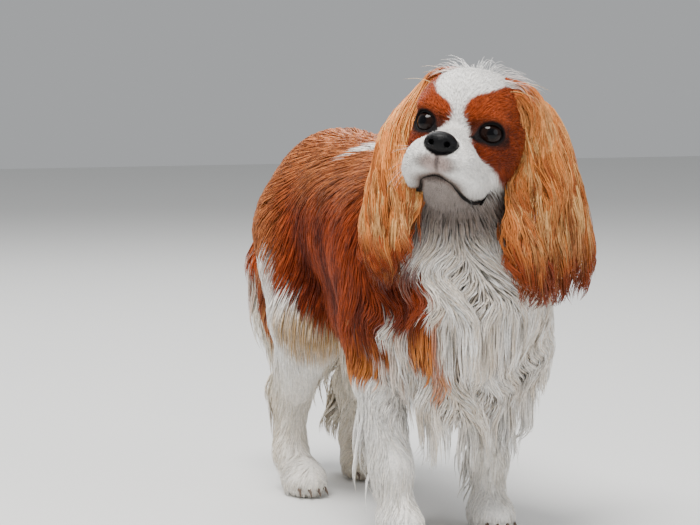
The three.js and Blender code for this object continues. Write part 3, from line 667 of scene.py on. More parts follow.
def unwrap(p, n):
    """Place on the map of a point p of the skin with normal n."""
    part = part_of(p)
    axis = np.argmax(np.abs(n), axis=1)
    tile = part * 6 + axis * 2 + (n[np.arange(len(n)), axis] > 0)
    flat = (p - UNWRAP_BOX[0]) / (UNWRAP_BOX[1] - UNWRAP_BOX[0]).max()
    u = np.where(axis == 0, flat[:, 1], flat[:, 0])
    v = np.where(axis == 2, flat[:, 1], flat[:, 2])
    return columns((tile % 7 + 0.02 + 0.96 * u) / 7, (tile // 7 + 0.02 + 0.96 * v) / 7)


# ---------------- materials
def setup(node, **values):
    """Constants on a node's own sockets, with _ for a space in their names."""
    for key, value in values.items():
        node.inputs[key.replace("_", " ")].default_value = value
    return node


def new_material(name):
    material = bpy.data.materials.new(name)
    material.use_nodes = True
    nodes = material.node_tree.nodes
    return material, nodes, material.node_tree.links, nodes["Principled BSDF"]


def textured(name, scale):
    """A material with a noise over the object's own places."""
    material, nodes, links, shader = new_material(name)
    place = nodes.new("ShaderNodeTexCoord").outputs["Object"]
    noise = setup(nodes.new("ShaderNodeTexNoise"), Scale=scale)
    links.new(place, noise.inputs["Vector"])
    return material, nodes, links, shader, place, noise


def marking(nodes):
    node = nodes.new("ShaderNodeAttribute")
    node.attribute_name = "coat"
    return node.outputs["Color"]


def relief(nodes, links, place, pattern, output, strength, distance):
    """Bump from a pattern of the object's own places."""
    raised = setup(nodes.new("ShaderNodeBump"), Strength=strength, Distance=distance)
    links.new(place, pattern.inputs["Vector"])
    links.new(pattern.outputs[output], raised.inputs["Height"])
    links.new(raised.outputs["Normal"], nodes["Principled BSDF"].inputs["Normal"])


def fur_material(name, roughness, specular, bump, grain_scale):
    """Colour from the marking at each tuft, with fine streaks of light and dark."""
    material, nodes, links, shader, place, noise = textured(name, grain_scale)
    setup(shader, Roughness=roughness, Specular_IOR_Level=specular)
    setup(noise, Detail=3)
    span = nodes.new("ShaderNodeMapRange")
    setup(span, From_Min=0.3, From_Max=0.7, To_Min=0.82, To_Max=1.14)
    mix = nodes.new("ShaderNodeMix")
    mix.data_type = "RGBA"
    mix.blend_type = "MULTIPLY"
    setup(mix, Factor=1)
    links.new(noise.outputs["Fac"], span.inputs["Value"])
    links.new(marking(nodes), mix.inputs["A"])
    links.new(span.outputs["Result"], mix.inputs["B"])
    links.new(mix.outputs["Result"], shader.inputs["Base Color"])
    if bump:
        hair = setup(nodes.new("ShaderNodeTexNoise"), Scale=900, Detail=2)
        relief(nodes, links, place, hair, "Fac", bump, 0.0006)
    return material


def gloss_material(name, colour, roughness, coat=0.0, bump_scale=0.0, bump=0.0, vary=0.3):
    """Plain colour with soft mottling, for nose, lids, claws and floor."""
    material, nodes, links, shader, place, noise = textured(name, 260)
    setup(shader, Roughness=roughness, Specular_IOR_Level=0.14)
    setup(shader, Coat_Weight=coat, Coat_Roughness=0.12)
    shades = nodes.new("ShaderNodeValToRGB")
    for stop, level in zip(shades.color_ramp.elements, (1 - vary, 1 + vary)):
        stop.color = (*(np.array(colour) * level), 1)
    links.new(noise.outputs["Fac"], shades.inputs["Fac"])
    links.new(shades.outputs["Color"], shader.inputs["Base Color"])
    if bump:
        cells = setup(nodes.new("ShaderNodeTexVoronoi"), Scale=bump_scale)
        relief(nodes, links, place, cells, "Distance", bump, 0.0005)
    return material


def eye_material():
    """Iris and pupil from the marking, under a clear wet surface."""
    material, nodes, links, shader = new_material("eye_wet")
    setup(shader, Roughness=0.3, Specular_IOR_Level=0.0)
    setup(shader, Coat_Weight=1.0, Coat_IOR=1.26, Coat_Roughness=0.03)
    links.new(marking(nodes), shader.inputs["Base Color"])
    return material


FUR = fur_material("coat_hair", 0.4, 0.2, 0, 420)
HIDE = fur_material("hide", 0.7, 0.1, 0.5, 500)
EYE_WET = eye_material()
LID_SKIN = gloss_material("lid_skin", srgb(11, 8, 8), 0.55, 0.0, 1200, 0.2)
NOSE_SKIN = gloss_material("nose_skin", srgb(6, 6, 8), 0.4, 0.04, 1500, 0.5)
CLAW_HORN = gloss_material("claw_horn", srgb(92, 78, 68), 0.4, 0.1)


# ---------------- tufts
TUFT_PATCH = 0.003  # size of a tuft on the map
ROOT_DEPTH = 0.8  # how far the roots sit in the skin
HAIR_LOWEST = 0.6


def tufts(paths, outs, width, thick, shape):
    """Closed tufts of three sides along paths that end in a point."""
    count, rings = outs.shape[:2]
    way = unit(paths[:, 1:] - paths[:, :-1])
    side = unit(np.cross(outs, way))
    out = np.cross(way, side)
    p = paths[:, :-1]
    half = (width[:, None] * shape)[..., None] / 2
    rise = (thick[:, None] * shape)[..., None]
    ring = np.stack([p + side * half, p + out * rise, p - side * half], axis=2)
    verts = np.concatenate([ring.reshape(count, rings * 3, 3), paths[:, -1:]], axis=1)
    faces = [(0, 2, 1)]
    for i in range(3):
        j = (i + 1) % 3
        for a in range(0, 3 * (rings - 1), 3):
            faces += [(a + i, a + j, a + j + 3), (a + i, a + j + 3, a + i + 3)]
        faces.append((3 * rings, 3 * (rings - 1) + i, 3 * (rings - 1) + j))
    faces = np.array(faces)
    size = 3 * rings + 1
    all_faces = (faces[None] + size * np.arange(count)[:, None, None]).reshape(-1, 3)
    along = np.append(np.repeat(np.arange(rings) / rings, 3), 1.0)
    across = np.append(np.tile((0, 0.5, 1), rings), 0.5)
    return verts.reshape(-1, 3), all_faces, along, across


def coat_piece(name, paths, outs, width, thick, shape, colours, uv, replaces=(), dark=0.08):
    """Tufts along paths, with colours for root and tip, and painted shade that makes them darker at
    the root.
    """
    verts, faces, along, across = tufts(paths, outs, width, thick, shape)
    root, tip = colours
    t = along[None, :, None]
    # painted shade deep in the coat, towards the roots
    shade = 1 - dark + dark * smooth(t, 0, 0.3)
    colour = ((root[:, None] * (1 - t) + tip[:, None] * t) * shade).reshape(-1, 3)
    patch = columns(across, along)[None] * TUFT_PATCH
    uvs = np.clip(uv[:, None] + patch, 0, 1).reshape(-1, 2)
    mesh_piece(name, verts, faces, FUR, colour, uvs, replaces)


def given(of, p):
    """What a function gives at the places p, or else the plain number itself."""
    return of(p) if callable(of) else of


def comb(field, roots, lie, length, tip_height, rings, sway=0.0):
    """Paths from roots along the lie, rising through the coat to tip_height over a field."""
    p = roots.copy()
    deep = field(p) - (0 if field is TAIL_TIPS else ROOT_DEPTH)
    paths, outs = [], []
    phase = rng.uniform(0, ANY_PHASE, len(p))
    for i in range(rings + 1):
        g = slope_of(field, p)
        free = smooth(-g[:, 2:], 0.15, 0.6) * (i > 0)  # hair under the body hangs clear of it
        target = deep + (tip_height - deep) * (1 - (1 - i / rings) ** 2.4)
        p = p + g * (target - field(p))[:, None] * (1 - free)
        p[:, 2] = np.maximum(p[:, 2], HAIR_LOWEST)
        paths.append(p)
        way = lie(p)
        way = unit(way - g * (way * g).sum(1, keepdims=True))
        way = unit(way * (1 - free) + np.array([0, 0, -1.0]) * free)
        if i < rings:
            outs.append(g)
            wave = sway * np.cos(phase + i * 2.2)
            p = p + way * (length / rings)[:, None] + np.cross(g, way) * wave[:, None]
    return np.stack(paths, 1), np.stack(outs, 1)


def body_lie(p):
    """Back over the spine, down on flanks and legs, and down the chest in shared waves."""
    x, y, z = p.T
    front = smooth(y, -70, -125)
    top = smooth(z, 235, 325) * (1 - front)
    back = 0.14 + 0.3 * smooth(y, 60, 140) + 0.9 * top - 0.1 * front
    chest = front * smooth(z, 272, 246) * smooth(z, 60, 110)
    swing = (1.3 + 0.6 * smooth(np.abs(x), 10, 40)) * chest
    swing = swing * np.sin(z / 9.4 + 4.4 * waves(p * (1, 1, 0.45), 40, 17) + 0.03 * x)
    drift = 0.6 * smooth(z, 165, 130) * smooth(z, 90, 120) * chest
    sideways = 0.12 * np.sign(x) * (1 - front) + swing + drift
    way = columns(sideways, back, -(1 - 0.55 * top))
    return way + 0.11 * columns(*(waves(p, 34, seed) for seed in (11, 12, 13)))


def head_lie(p):
    """Up from the nose over the forehead and back over the cheeks."""
    q = to_head(p)
    x, y, z = q.T
    above = columns(0.5 * x / 30, 1, 0.55 - 0.02 * np.clip(y, 0, 60))
    d = blend(above, columns(0.5 * x / 30, 0.75, -0.75), smooth(z, -18, -40))
    d = d + 0.1 * columns(*(waves(p, 12, seed) for seed in (21, 22, 23)))
    return d @ HEAD_TURN.T


def lie(p):
    share = head_share(p)[:, None]
    return unit(head_lie(p)) * share + unit(body_lie(p)) * (1 - share)


# ---------------- skin
skin_marks = (
    steps((-112, -100, 50, 112), (4, 1.5, 4)),
    steps((-256, -120, -60, 262), (1.5, 2.5, 4)),
    steps((-12, 274, 404), (4, 1.5)),
)
skin_verts, skin_faces = polygonise(skin_field, skin_marks)
skin_normals = slope_of(skin_field, skin_verts)
under_skin = ["head", "lower_jaw", "neck", "torso", "tail"]
for leg in ("foreleg", "forepaw", "hindleg", "hindpaw"):
    under_skin += [leg + "_" + side for side in SIDES.values()]
skin_colours = coat_colour(skin_verts, np.zeros(len(skin_verts))) * 0.9
skin_map = unwrap(skin_verts, skin_normals)
mesh_piece("skin", skin_verts, skin_faces, HIDE, skin_colours, skin_map, under_skin)

face_centres = skin_verts[skin_faces].mean(1)
in_head = head_share(face_centres)
gap = CORE(face_centres) - TIPS(face_centres)


def combed(weight, count, length, tip, rough, spans, rings, sway=0.0):
    """Paths on the skin where the weight is, with their grain and places on the map."""
    roots = scatter(skin_verts, skin_faces, weight, count)
    grain = rng.uniform(-1, 1, count)
    size = given(length, roots) * rng.uniform(*spans[0], count)
    tips = given(tip, roots) + given(rough, roots) * rng.uniform(*spans[1], count)
    paths, outs = comb(over_all, roots, lie, size, tips, rings, sway)
    return paths, outs, grain, unwrap(roots, outs[:, 0])


def grow(name, weight, count, length, width, rings, tip=0.0, thick=0.5, light=0.06, rough=1.0):
    """Short coat, of single tufts."""
    spans = (0.75, 1.2), (-0.8, 0.35)
    paths, outs, grain, uv = combed(weight, count, length, tip, rough, spans, rings)
    shape = np.interp(np.arange(rings) / rings, (0, 0.3, 0.7, 1), (0.7, 1, 0.75, 0.3))
    colour = coat_colour(paths[:, rings // 2], grain) * (1 + 0.09 * grain[:, None])
    wide = width * rng.uniform(0.7, 1.25, count)
    coat_piece(name, paths, outs, wide, wide * thick, shape, (colour, colour * (1 + light)), uv)


# ---------------- short coat
def face_length(p):
    q = to_head(p)
    _, y, z = q.T
    size = ramp(y, [(-50, 3.4), (-30, 5.0), (10, 8), (50, 14), (90, 20)])
    size = size + 7 * smooth(z, -20, -44) * smooth(y, -38, -10)
    above = jaw_field(q) - face_join(q)  # the hair above the lips leaves them bare
    size = np.where((above > 0) & (y < 20), np.minimum(size, 2.2 + 0.85 * above), size)
    return size * (0.5 + 0.5 * smooth(eye_measure(q), 1.3, 2.2))


def body_length(p):
    z = p[:, 2]
    size = 16 + 18 * smooth(z, 150, 220) + 5 * smooth(z, 60, 130)
    return size * (1 - 0.5 * smooth(p[:, 1], -120, -150) * smooth(z, 250, 275))


def rump_rise(p):
    """How far the coat stands off on the rump."""
    return 4 * smooth(p[:, 1], 60, 110) * smooth(p[:, 2], 200, 240)


on_head = smooth(in_head, 0.25, 0.6)
head_place = to_head(face_centres)
bare = smooth(eye_measure(head_place), 1.22, 1.36)
pad_clear = smooth(nose_measure(head_place, 12), 0.97, 1.12)
in_front = smooth(head_place[:, 1], 14, 6)
face_skin = on_head * bare * pad_clear
finer = 1 + 1.2 * smooth(head_place[:, 1], -5, -30)
finer = finer + 1.5 * smooth(eye_measure(head_place), 2.6, 1.4)
grow("coat_face", face_skin * in_front * finer, 17000, face_length, 0.55, 2, 0.1, 0.4, 0.03, 0.9)
grow("coat_cheeks", face_skin * (1 - in_front), 8500, face_length, 0.75, 2, 0.1, 0.4, 0.05, 0.8)
is_leg = smooth(face_centres[:, 2], 150, 110) * (1 - on_head)
is_trunk = (1 - on_head) * (1 - is_leg)
right_side = (face_centres[:, 0] < 0).astype(float)
dense = 1 - 0.35 * smooth(gap, 3, 10)
grow("coat_right", is_trunk * right_side * dense, 10800, body_length, 1.25, 3, rump_rise)
grow("coat_left", is_trunk * (1 - right_side) * dense, 7500, body_length, 1.45, 3, rump_rise)
grow("coat_legs", is_leg, 10000, body_length, 0.85, 2, 0.0)


# ---------------- long locks
def locks(name, guides, guide_outs, per, spread, width, colours, uv, replaces=(), vary=0.13):
    """Bundles of thin tufts that follow guides and draw together at the tips."""
    count, rings = guide_outs.shape[:2]
    t = np.arange(rings + 1) / rings
    way = unit(np.gradient(guides, axis=1))
    outs = np.concatenate([guide_outs, guide_outs[:, -1:]], 1)
    side = unit(np.cross(outs, way))
    a = rng.normal(0, 1, (count, per, 1)).clip(-1.7, 1.7)
    b = rng.normal(0, 1, (count, per, 1)).clip(-1.5, 1.5)
    close = 1 - 0.66 * t**1.5
    swing = 0.3 * np.sin(rng.uniform(0, ANY_PHASE, (count, per, 1)) + 5.0 * t) * t
    across = (spread * (a * close + swing))[..., None]
    up = (0.22 * spread * b * close)[..., None]
    paths = guides[:, None] + side[:, None] * across + outs[:, None] * up
    trim = rng.uniform(0.7, 1.0, (count, per))  # tufts end at different lengths
    place = trim[..., None] * rings * t
    k = np.minimum(place.astype(int), rings - 1)[..., None]
    f = place[..., None] - k
    ends = (np.take_along_axis(paths, k + more, 2) for more in (0, 1))
    paths = (next(ends) * (1 - f) + next(ends) * f).reshape(count * per, rings + 1, 3)
    grain = rng.uniform(-1, 1, count * per) * vary + np.repeat(rng.uniform(-1, 1, count), per) * 0.1
    wide = width * rng.uniform(0.6, 1.3, count * per)
    shape = np.interp(np.arange(rings) / rings, (0, 0.15, 0.55, 1), (0.7, 1, 0.95, 0.35))
    colours = [np.repeat(colour, per, 0) * (1 + grain[:, None]) for colour in colours]
    outs, uv = np.repeat(guide_outs, per, 0), np.repeat(uv, per, 0)
    coat_piece(name, paths, outs, wide, wide * 0.4, shape, colours, uv, replaces, 0.14)


def long_locks(
    name, weight, count, per, length, width, spread, rings, sway=1.2, tip=-0.5, rough=2.0, fringe=0
):
    """Long coat, of locks that lie calmer on the throat and are pale at the tips by the fringe."""

    def unrest(p):
        return rough * (1 - 0.7 * smooth(p[:, 2], 244, 266) * smooth(p[:, 1], -100, -130))

    spans = (0.8, 1.15), (-1, 0.7)
    paths, outs, grain, uv = combed(weight, count, length, tip, unrest, spans, rings, sway)
    root_colour = coat_colour(paths[:, 1], grain)
    tip_colour = coat_colour(paths[:, (2 * rings) // 3], grain) * 1.08
    gold = fringe * smooth(root_colour[:, 2], 0.3, 0.1) * rng.uniform(0, 1, count)
    colours = root_colour * 0.96, blend(tip_colour, PALE_GOLD, gold)
    locks(name, paths, outs, per, spread, width, colours, uv)


x, y, z = face_centres.T
facing_back = smooth(face_normals(skin_verts, skin_faces)[0][:, 1], 0.1, 0.6)
on_body = 1 - on_head
long_hair = smooth(gap, 2.0, 7.0) * on_body
chest = long_hair * smooth(y, -96, -112) * smooth(z, 84, 104)
throat = on_body * smooth(y, -118, -135) * smooth(z, 205, 225) * (1 - smooth(z, 262, 284))
under_chest = smooth(gap, 1.5, 4) * on_body * smooth(y, -100, -118) * smooth(z, 84, 104)
under_chest = np.maximum(under_chest, throat)
grow("coat_under_chest", under_chest, 5200, 24, 2.1, 2, -2.6, 0.3, 0.06, 1.2)
long_locks("coat_chest", np.maximum(chest, 0.8 * throat), 450, 9, 60, 1.25, 3.4, 7)
skirt = long_hair * smooth(y, -104, -90) * smooth(z, 70, 100) * (1 - is_leg)
long_locks("coat_skirt", skirt, 350, 10, 52, 1.15, 3.0, 6, fringe=0.5)
rear_of_leg = facing_back * smooth(z, 26, 44) * (1 - smooth(z, 200, 240)) * on_body
rear_of_leg = rear_of_leg * np.maximum(smooth(y, 128, 150), is_leg * smooth(y, -20, -50))
rear_of_leg = rear_of_leg * (1 + 3.6 * smooth(y, 150, 180) * (x > 0))
feathers = np.maximum(rear_of_leg, 0.6 * long_hair * is_leg * smooth(z, 50, 66))


def feather_rise(p):
    """How far the feathering stands off behind the legs."""
    x, y, z = p.T
    hind = smooth(y, 120, 160) * smooth(z, 46, 76) * smooth(z, 165, 120) * (6 + 16 * (x > 0))
    fore = smooth(y, -20, -50) * smooth(z, 30, 50) * smooth(z, 150, 90) * 9
    return 1.5 + hind + fore


def feather_length(p):
    return 30 + 34 * smooth(p[:, 2], 40, 120)


long_locks("coat_feathers", feathers, 450, 9, feather_length, 0.95, 2.6, 5, 1.0, feather_rise, 3.0)


# ---------------- ears
# An ear hangs along a path, whose first points are given in the head's frame. Places on it are t
# from 0 to 1 along it and x from -1 to 1 across it.
EARS = {
    1: dict(
        root=((19, 38, 50), (36, 42, 45), (47, 44, 33)),
        hang=[(63, -172, 345), (70, -168, 318), (73, -166, 284), (72, -166, 242), (71, -166, 200)],
        across=(HEAD_TURN[:, 1], (0.97, 0.24, 0)),
        half=(12, 15, 17, 21, 30, 41, 51, 47),
        thick=(4, 6, 9, 11, 13, 15, 15, 6),
        end=1.04,
    ),
    -1: dict(
        root=((-14, 32, 50), (-32, 34, 46), (-45, 36, 33)),
        hang=[(-54, -136, 350), (-60, -140, 320), (-63, -142, 286), (-64, -142, 250)]
        + [(-63, -140, 216)],
        across=(-HEAD_TURN[:, 1], (0.52, -0.85, 0)),
        half=(10, 11, 11, 13, 19, 27, 30, 23),
        thick=(3, 4, 5, 7, 9, 12, 14, 6),
        end=1.0,
    ),
}
for ear in EARS.values():
    ear["path"] = [from_head(q) for q in ear["root"]] + ear["hang"]
EAR_OVER_COAT = 5.5  # how far the ears hang over the coat of the chest
EAR_INNER = (2, 3, 4, 4, 4, 5, 6, 4)
EAR_CUP = (0, 1, 3, 6, 9, 10, 8, 2)


def along(values, t):
    """Smooth reading of a list at t from 0 to 1."""
    values = np.asarray(values, float)
    if values.ndim == 1:
        values = values[:, None]
    last = len(values) - 1
    place = np.clip(t, 0, 1) * last
    i = np.minimum(place.astype(int), last - 1)
    f = (place - i)[..., None]
    a, b = values[i], values[i + 1]
    ma = (b - values[np.maximum(i - 1, 0)]) / 2
    mb = (values[np.minimum(i + 2, last)] - a) / 2
    out = (2 * f**3 - 3 * f**2 + 1) * a + (f**3 - 2 * f**2 + f) * ma
    out += (3 * f**2 - 2 * f**3) * b + (f**3 - f**2) * mb
    return out[..., 0] if out.shape[-1] == 1 else out


def ear_place(ear, t, x, rise):
    """Place on an ear, and the direction out of it there."""
    down = unit(along(ear["path"], t + 0.02) - along(ear["path"], t - 0.02))
    high, low = (np.array(a) for a in ear["across"])
    wide = unit(blend(high, low, smooth(t, 0.22, 0.5)))
    side = unit(wide - down * (down * wide).sum(1, keepdims=True))
    out = np.cross(down, side)
    p = along(ear["path"], t) + side * (along(ear["half"], t) * x)[..., None]
    p = p - out * (along(EAR_CUP, t) * x * x)[..., None]
    drape = smooth(t, 0.5, 0.72)
    push = np.zeros(len(t))
    for _ in range(4):  # low down the ear hangs over the coat of the chest, not in it
        short = EAR_OVER_COAT - over_all(p + TO_CAMERA * push[:, None])
        push = np.clip(push + short / 0.8, 0, 30)
    return p + TO_CAMERA * (push * drape)[:, None] + out * rise[..., None], out


def ear_top(ear, t, x):
    """How far the coat stands out on the outer side of the ear."""
    return along(ear["thick"], t) * np.sqrt(np.clip(1 - 0.9 * np.minimum(np.abs(x), 1) ** 2, 0, 1))


def ear_colour(t, x, grain, tip):
    """Chestnut at the root, pale gold down the middle, deep red low down, with gold streaks."""
    colour = blend(CHESTNUT, GOLD, np.clip(smooth(t, 0.12, 0.5) + 0.22 * grain, 0, 1))
    colour = blend(colour, PALE_GOLD, smooth(grain, -0.6, 0.7) * smooth(t, 0.36, 0.56))
    # painted sheen: the coat is lighter where the ear stands out most
    colour = colour * (0.84 + 0.34 * smooth(t, 0.15, 0.5) * smooth(t, 0.85, 0.65))[:, None]
    colour = blend(colour, CHESTNUT, np.clip(0.95 * smooth(t + 0.08 * grain, 0.66, 0.8), 0, 1))
    deep = smooth(t + 0.1 * grain, 0.72, 0.9) * (1 - 0.5 * smooth(np.abs(x), 0.6, 1))
    colour = blend(colour, DARK_RED, np.clip(0.85 * deep, 0, 1))
    return blend(colour, ORANGE, np.clip(0.5 * tip * smooth(grain, 0.3, 0.8), 0, 1))


def ear_coat(s, count, per):
    ear = EARS[s]
    rings = 7
    t0 = 0.82 * rng.random(count) ** 0.85
    x0 = rng.uniform(-1, 1, count)
    inner = rng.random(count) < 0.12
    end = ear["end"] - 0.13 * np.abs(x0) ** 3 - 0.05 * rng.random(count) + 0.02 * np.sin(8 * x0 + s)
    share = np.maximum(np.minimum(rng.uniform(0.26, 0.46, count), end - t0), 0.1)
    curl = smooth(t0 + share, 0.5, 0.95)
    phase = rng.uniform(0, ANY_PHASE, count)
    paths, outs = [], []
    for i in range(rings + 1):
        f = i / rings
        t = t0 + share * f
        shared = np.sin(10.5 * t + 2.2 * np.sin(2.6 * x0 + s))
        shared = shared + 0.55 * smooth(t, 0.3, 0.5) * np.sin(25 * t + 3.2 * np.sin(3.1 * x0 - s))
        own = np.sin(phase + 8.5 * f) * smooth(f, 0.1, 0.5)
        x = x0 * (1 - 0.1 * f) + 0.1 * shared * smooth(t, 0.15, 0.45) + (0.02 + 0.08 * curl) * own
        top = ear_top(ear, t, x) * (0.3 + 0.7 * min(1, 0.1 + 2.2 * f))
        level = np.where(inner, -along(EAR_INNER, t) * 0.9, top)
        bob = (0.5 + 1.8 * curl) * np.cos(phase + 8.5 * f) * smooth(f, 0.2, 0.6)
        p, out = ear_place(ear, t, x, level * (1 - 0.2 * f) + bob)
        paths.append(p)
        if i < rings:
            outs.append(np.where(inner[:, None], -out, out))
    guides, guide_outs = np.stack(paths, 1), np.stack(outs, 1)
    grain = rng.uniform(-1, 1, count)
    colours = ear_colour(t0, x0, grain, 0), ear_colour(t0 + share, x0, grain, 1)
    uv = columns(0.04 + 0.92 * (x0 + 1) / 2, 0.04 + 0.4 * t0 + 0.5 * inner)
    name = "ear_" + SIDES[s]
    locks("coat_" + name, guides, guide_outs, per, 2.4, 1.1, colours, uv, [name], 0.17)


def ear_flap(s):
    """The leather of the ear, inside its coat."""
    ear = EARS[s]
    rows, sides = 26, 20
    t = np.repeat(np.linspace(0.0, 0.62, rows), sides)
    angle = np.tile(angles(sides), rows)
    slim = along((1, 0.98, 0.92, 0.78, 0.3), t / 0.62)
    thick = np.where(np.sin(angle) > 0, along(ear["thick"], t) * 0.5, along(EAR_INNER, t) * 0.6)
    x = slim * np.cos(angle) * 0.92
    verts, _ = ear_place(ear, t, x, slim * thick * np.sin(angle))
    colour = ear_colour(t, x, waves(verts, 20, 31), 0) * 0.9
    uv = columns(0.04 + 0.92 * (x + 1) / 2, 0.04 + 0.5 * t + 0.5 * (np.sin(angle) < 0))
    faces = quads(rows, sides)
    mesh_piece("ear_leather_" + SIDES[s], verts, faces, HIDE, colour, uv)


def temple_coat(s, count, per):
    """Hair that sweeps from the side of the head over the front edge of the ear."""
    ear = EARS[s]
    rings = 6
    t0 = rng.uniform(0.0, 0.42, count)
    x0 = -s * (0.8 + rng.uniform(0, 14, count) / along(ear["half"], t0))
    roots = ear_place(ear, t0, x0, 0 * t0)[0]
    for _ in range(5):
        roots = roots - slope_of(head_field, roots) * (head_field(roots) + 1.2)[:, None]
    keep = eye_measure(to_head(roots)) > 2.5
    t0, x0, roots = t0[keep], x0[keep], roots[keep]
    count = len(t0)
    share = rng.uniform(0.16, 0.3, count)
    x1 = -s * rng.uniform(0.5, 0.95, count)
    normal = slope_of(head_field, roots)
    paths, outs = [], []
    for i in range(rings + 1):
        f = i / rings
        t, x = t0 + share * f, x0 * (1 - f) + x1 * f
        p, out = ear_place(ear, t, x, ear_top(ear, t, x) + 1.0)
        near = smooth(f, 0.0, 0.75)
        paths.append(roots * (1 - near) + p * near)
        if i < rings:
            outs.append(unit(normal * (1 - near) + out * near))
    grain = rng.uniform(-1, 1, count)
    colours = coat_colour(roots, grain), ear_colour(t0 + share, x1, grain, 0)
    uv = columns(0.04 + 0.9 * rng.random(count), 0.9 + 0.08 * t0)
    guides, guide_outs = np.stack(paths, 1), np.stack(outs, 1)
    locks("coat_temple_" + SIDES[s], guides, guide_outs, per, 1.6, 0.8, colours, uv)


for s in SIDES:
    ear_flap(s)
    ear_coat(s, 430, 8)
    temple_coat(s, 100, 8)


# ---------------- tail
def tail_lie(p):
    z = p[:, 2]
    i = np.clip((TAIL[1:-1, 2][None] > z[:, None]).sum(1), 0, len(TAIL) - 2)
    return unit(TAIL[i + 1] - TAIL[i])


def tail_coat(count, per):
    t = rng.uniform(0.0, 0.8, count)
    centre = along(TAIL, t)
    angle = rng.uniform(0, ANY_PHASE, count)
    way = tail_lie(centre)
    side = unit(np.cross(way, np.array([1.0, 0, 0.2])))
    ring = side * np.cos(angle)[:, None] + np.cross(way, side) * np.sin(angle)[:, None]
    roots = centre + 5 * ring
    size = rng.uniform(44, 74, count)
    paths, outs = comb(TAIL_TIPS, roots, tail_lie, size, rng.uniform(-4, 1, count), 5, 1.8)
    grain = rng.uniform(-1, 1, count)
    white = smooth(roots[:, 2] + 12 * grain, 236, 206)
    red = CHESTNUT * (0.9 + 0.2 * grain[:, None])
    # painted sheen: lighter towards tan high on the tail
    red = blend(red, TAN, 0.5 * smooth(roots[:, 2], 225, 290))
    colour = blend(red, (WHITE + CREAM) / 2, white)
    uv = columns(0.02 + 0.96 * t, 0.02 + 0.15 * angle)
    locks("coat_tail", paths, outs, per, 3.0, 1.2, (colour * 0.95, colour * 1.06), uv)


tail_coat(240, 9)


# ---------------- eyes, lids, nose, claws
def in_eye(s, points):
    """Points given across an eye, along its gaze and up, in the dog's frame."""
    return from_head(BALL_AT[s]) + points @ (HEAD_TURN @ LOOK[s] * (1, -1, 1)).T


def eye(s):
    """Ball with a bulging cornea, a very dark brown iris and a black pupil."""
    rows, sides = 40, 56
    theta = np.repeat(np.linspace(0, math.pi, rows + 1), sides)
    phi = np.tile(angles(sides), rows + 1)
    points = columns(np.sin(theta) * np.cos(phi), np.cos(theta), np.sin(theta) * np.sin(phi))
    points = points * EYE_BALL * (1 + 0.045 * np.exp(-((theta / 0.5) ** 2)))[:, None]
    pupil, iris = smooth(theta, 0.42, 0.36), smooth(theta, 0.86, 0.78)
    brown = srgb(26, 14, 10) * (1 + 0.14 * np.sin(31 * phi))[:, None]
    colour = blend(blend(srgb(26, 20, 20), brown, iris), srgb(4, 4, 6), pupil)
    uv = 0.5 + 0.45 * (theta / math.pi)[:, None] * columns(np.cos(phi), np.sin(phi))
    name, faces = "eye_" + SIDES[s], quads(rows + 1, sides)
    mesh_piece(name + "_ball", in_eye(s, points), faces, EYE_WET, colour, uv, [name])


def lids(s):
    """Upper and lower lid as one rolled rim that hugs the ball."""
    around, sides = 72, 12
    a = np.repeat(angles(around), sides)
    b = np.tile(angles(sides), around)
    inward = -s * np.cos(a)  # 1 at the corner near the nose
    wide = EYE_OPEN[0] + 0.3 + 0.9 * np.clip(inward, 0, 1) ** 4 + 0.5 * np.clip(-inward, 0, 1) ** 4
    x, z = wide * np.cos(a), (EYE_OPEN[1] + 0.1) * np.sin(a) - 0.5 * inward
    centre = columns(x, np.sqrt((EYE_BALL + 0.55) ** 2 - x * x - z * z), z)
    thick = np.where(np.sin(a) > 0, 1.0, 0.75)
    outward = columns(np.cos(a), 0, np.sin(a)) * (1.3 * thick * np.cos(b))[:, None]
    verts = in_eye(s, centre + unit(centre) * (thick * np.sin(b))[:, None] + outward)
    faces, uv = quads(around, sides, closed=True), columns(a, b) / 6.3
    mesh_piece("lids_" + SIDES[s], verts, faces, LID_SKIN, None, uv)


def nose():
    """Nose leather with its two comma nostrils and the groove between them."""
    bulb = lump(NOSE_AT, (12.4, 10, 8.6))
    field = join([bulb, lump((0, -46, -15.6), (10.5, 8, 6))], 4)
    for s in SIDES:
        field = join([field, lump((s * 8.6, -46, -19.4), (5, 6, 5.6))], 3)
        field = carve(field, limb((s * 6.2, -57, -19.4), (s * 6.8, -49, -19.2), 2.6, 2.0), 1.6)
        field = carve(field, limb((s * 8, -56, -20.6), (s * 12, -50, -20), 1.5, 1.0), 1.2)
    field = carve(field, limb((0, -56, -20), (0, -52, -30), 0.8, 1.0), 1.2)
    marks = [steps(ends, (0.6,)) for ends in ((-18, 18), (-58, -30), (-34, -4))]
    verts, faces = polygonise(field, marks)
    rear = slope_of(field, verts)[:, 1] > 0
    uv = np.clip(columns(0.5 + verts[:, 0] / 50, 0.5 + verts[:, 2] / 60 + 0.3 * rear), 0, 1)
    verts = from_head(verts)
    mesh_piece("nose_pad", verts, faces, NOSE_SKIN, None, uv, ["nose"])


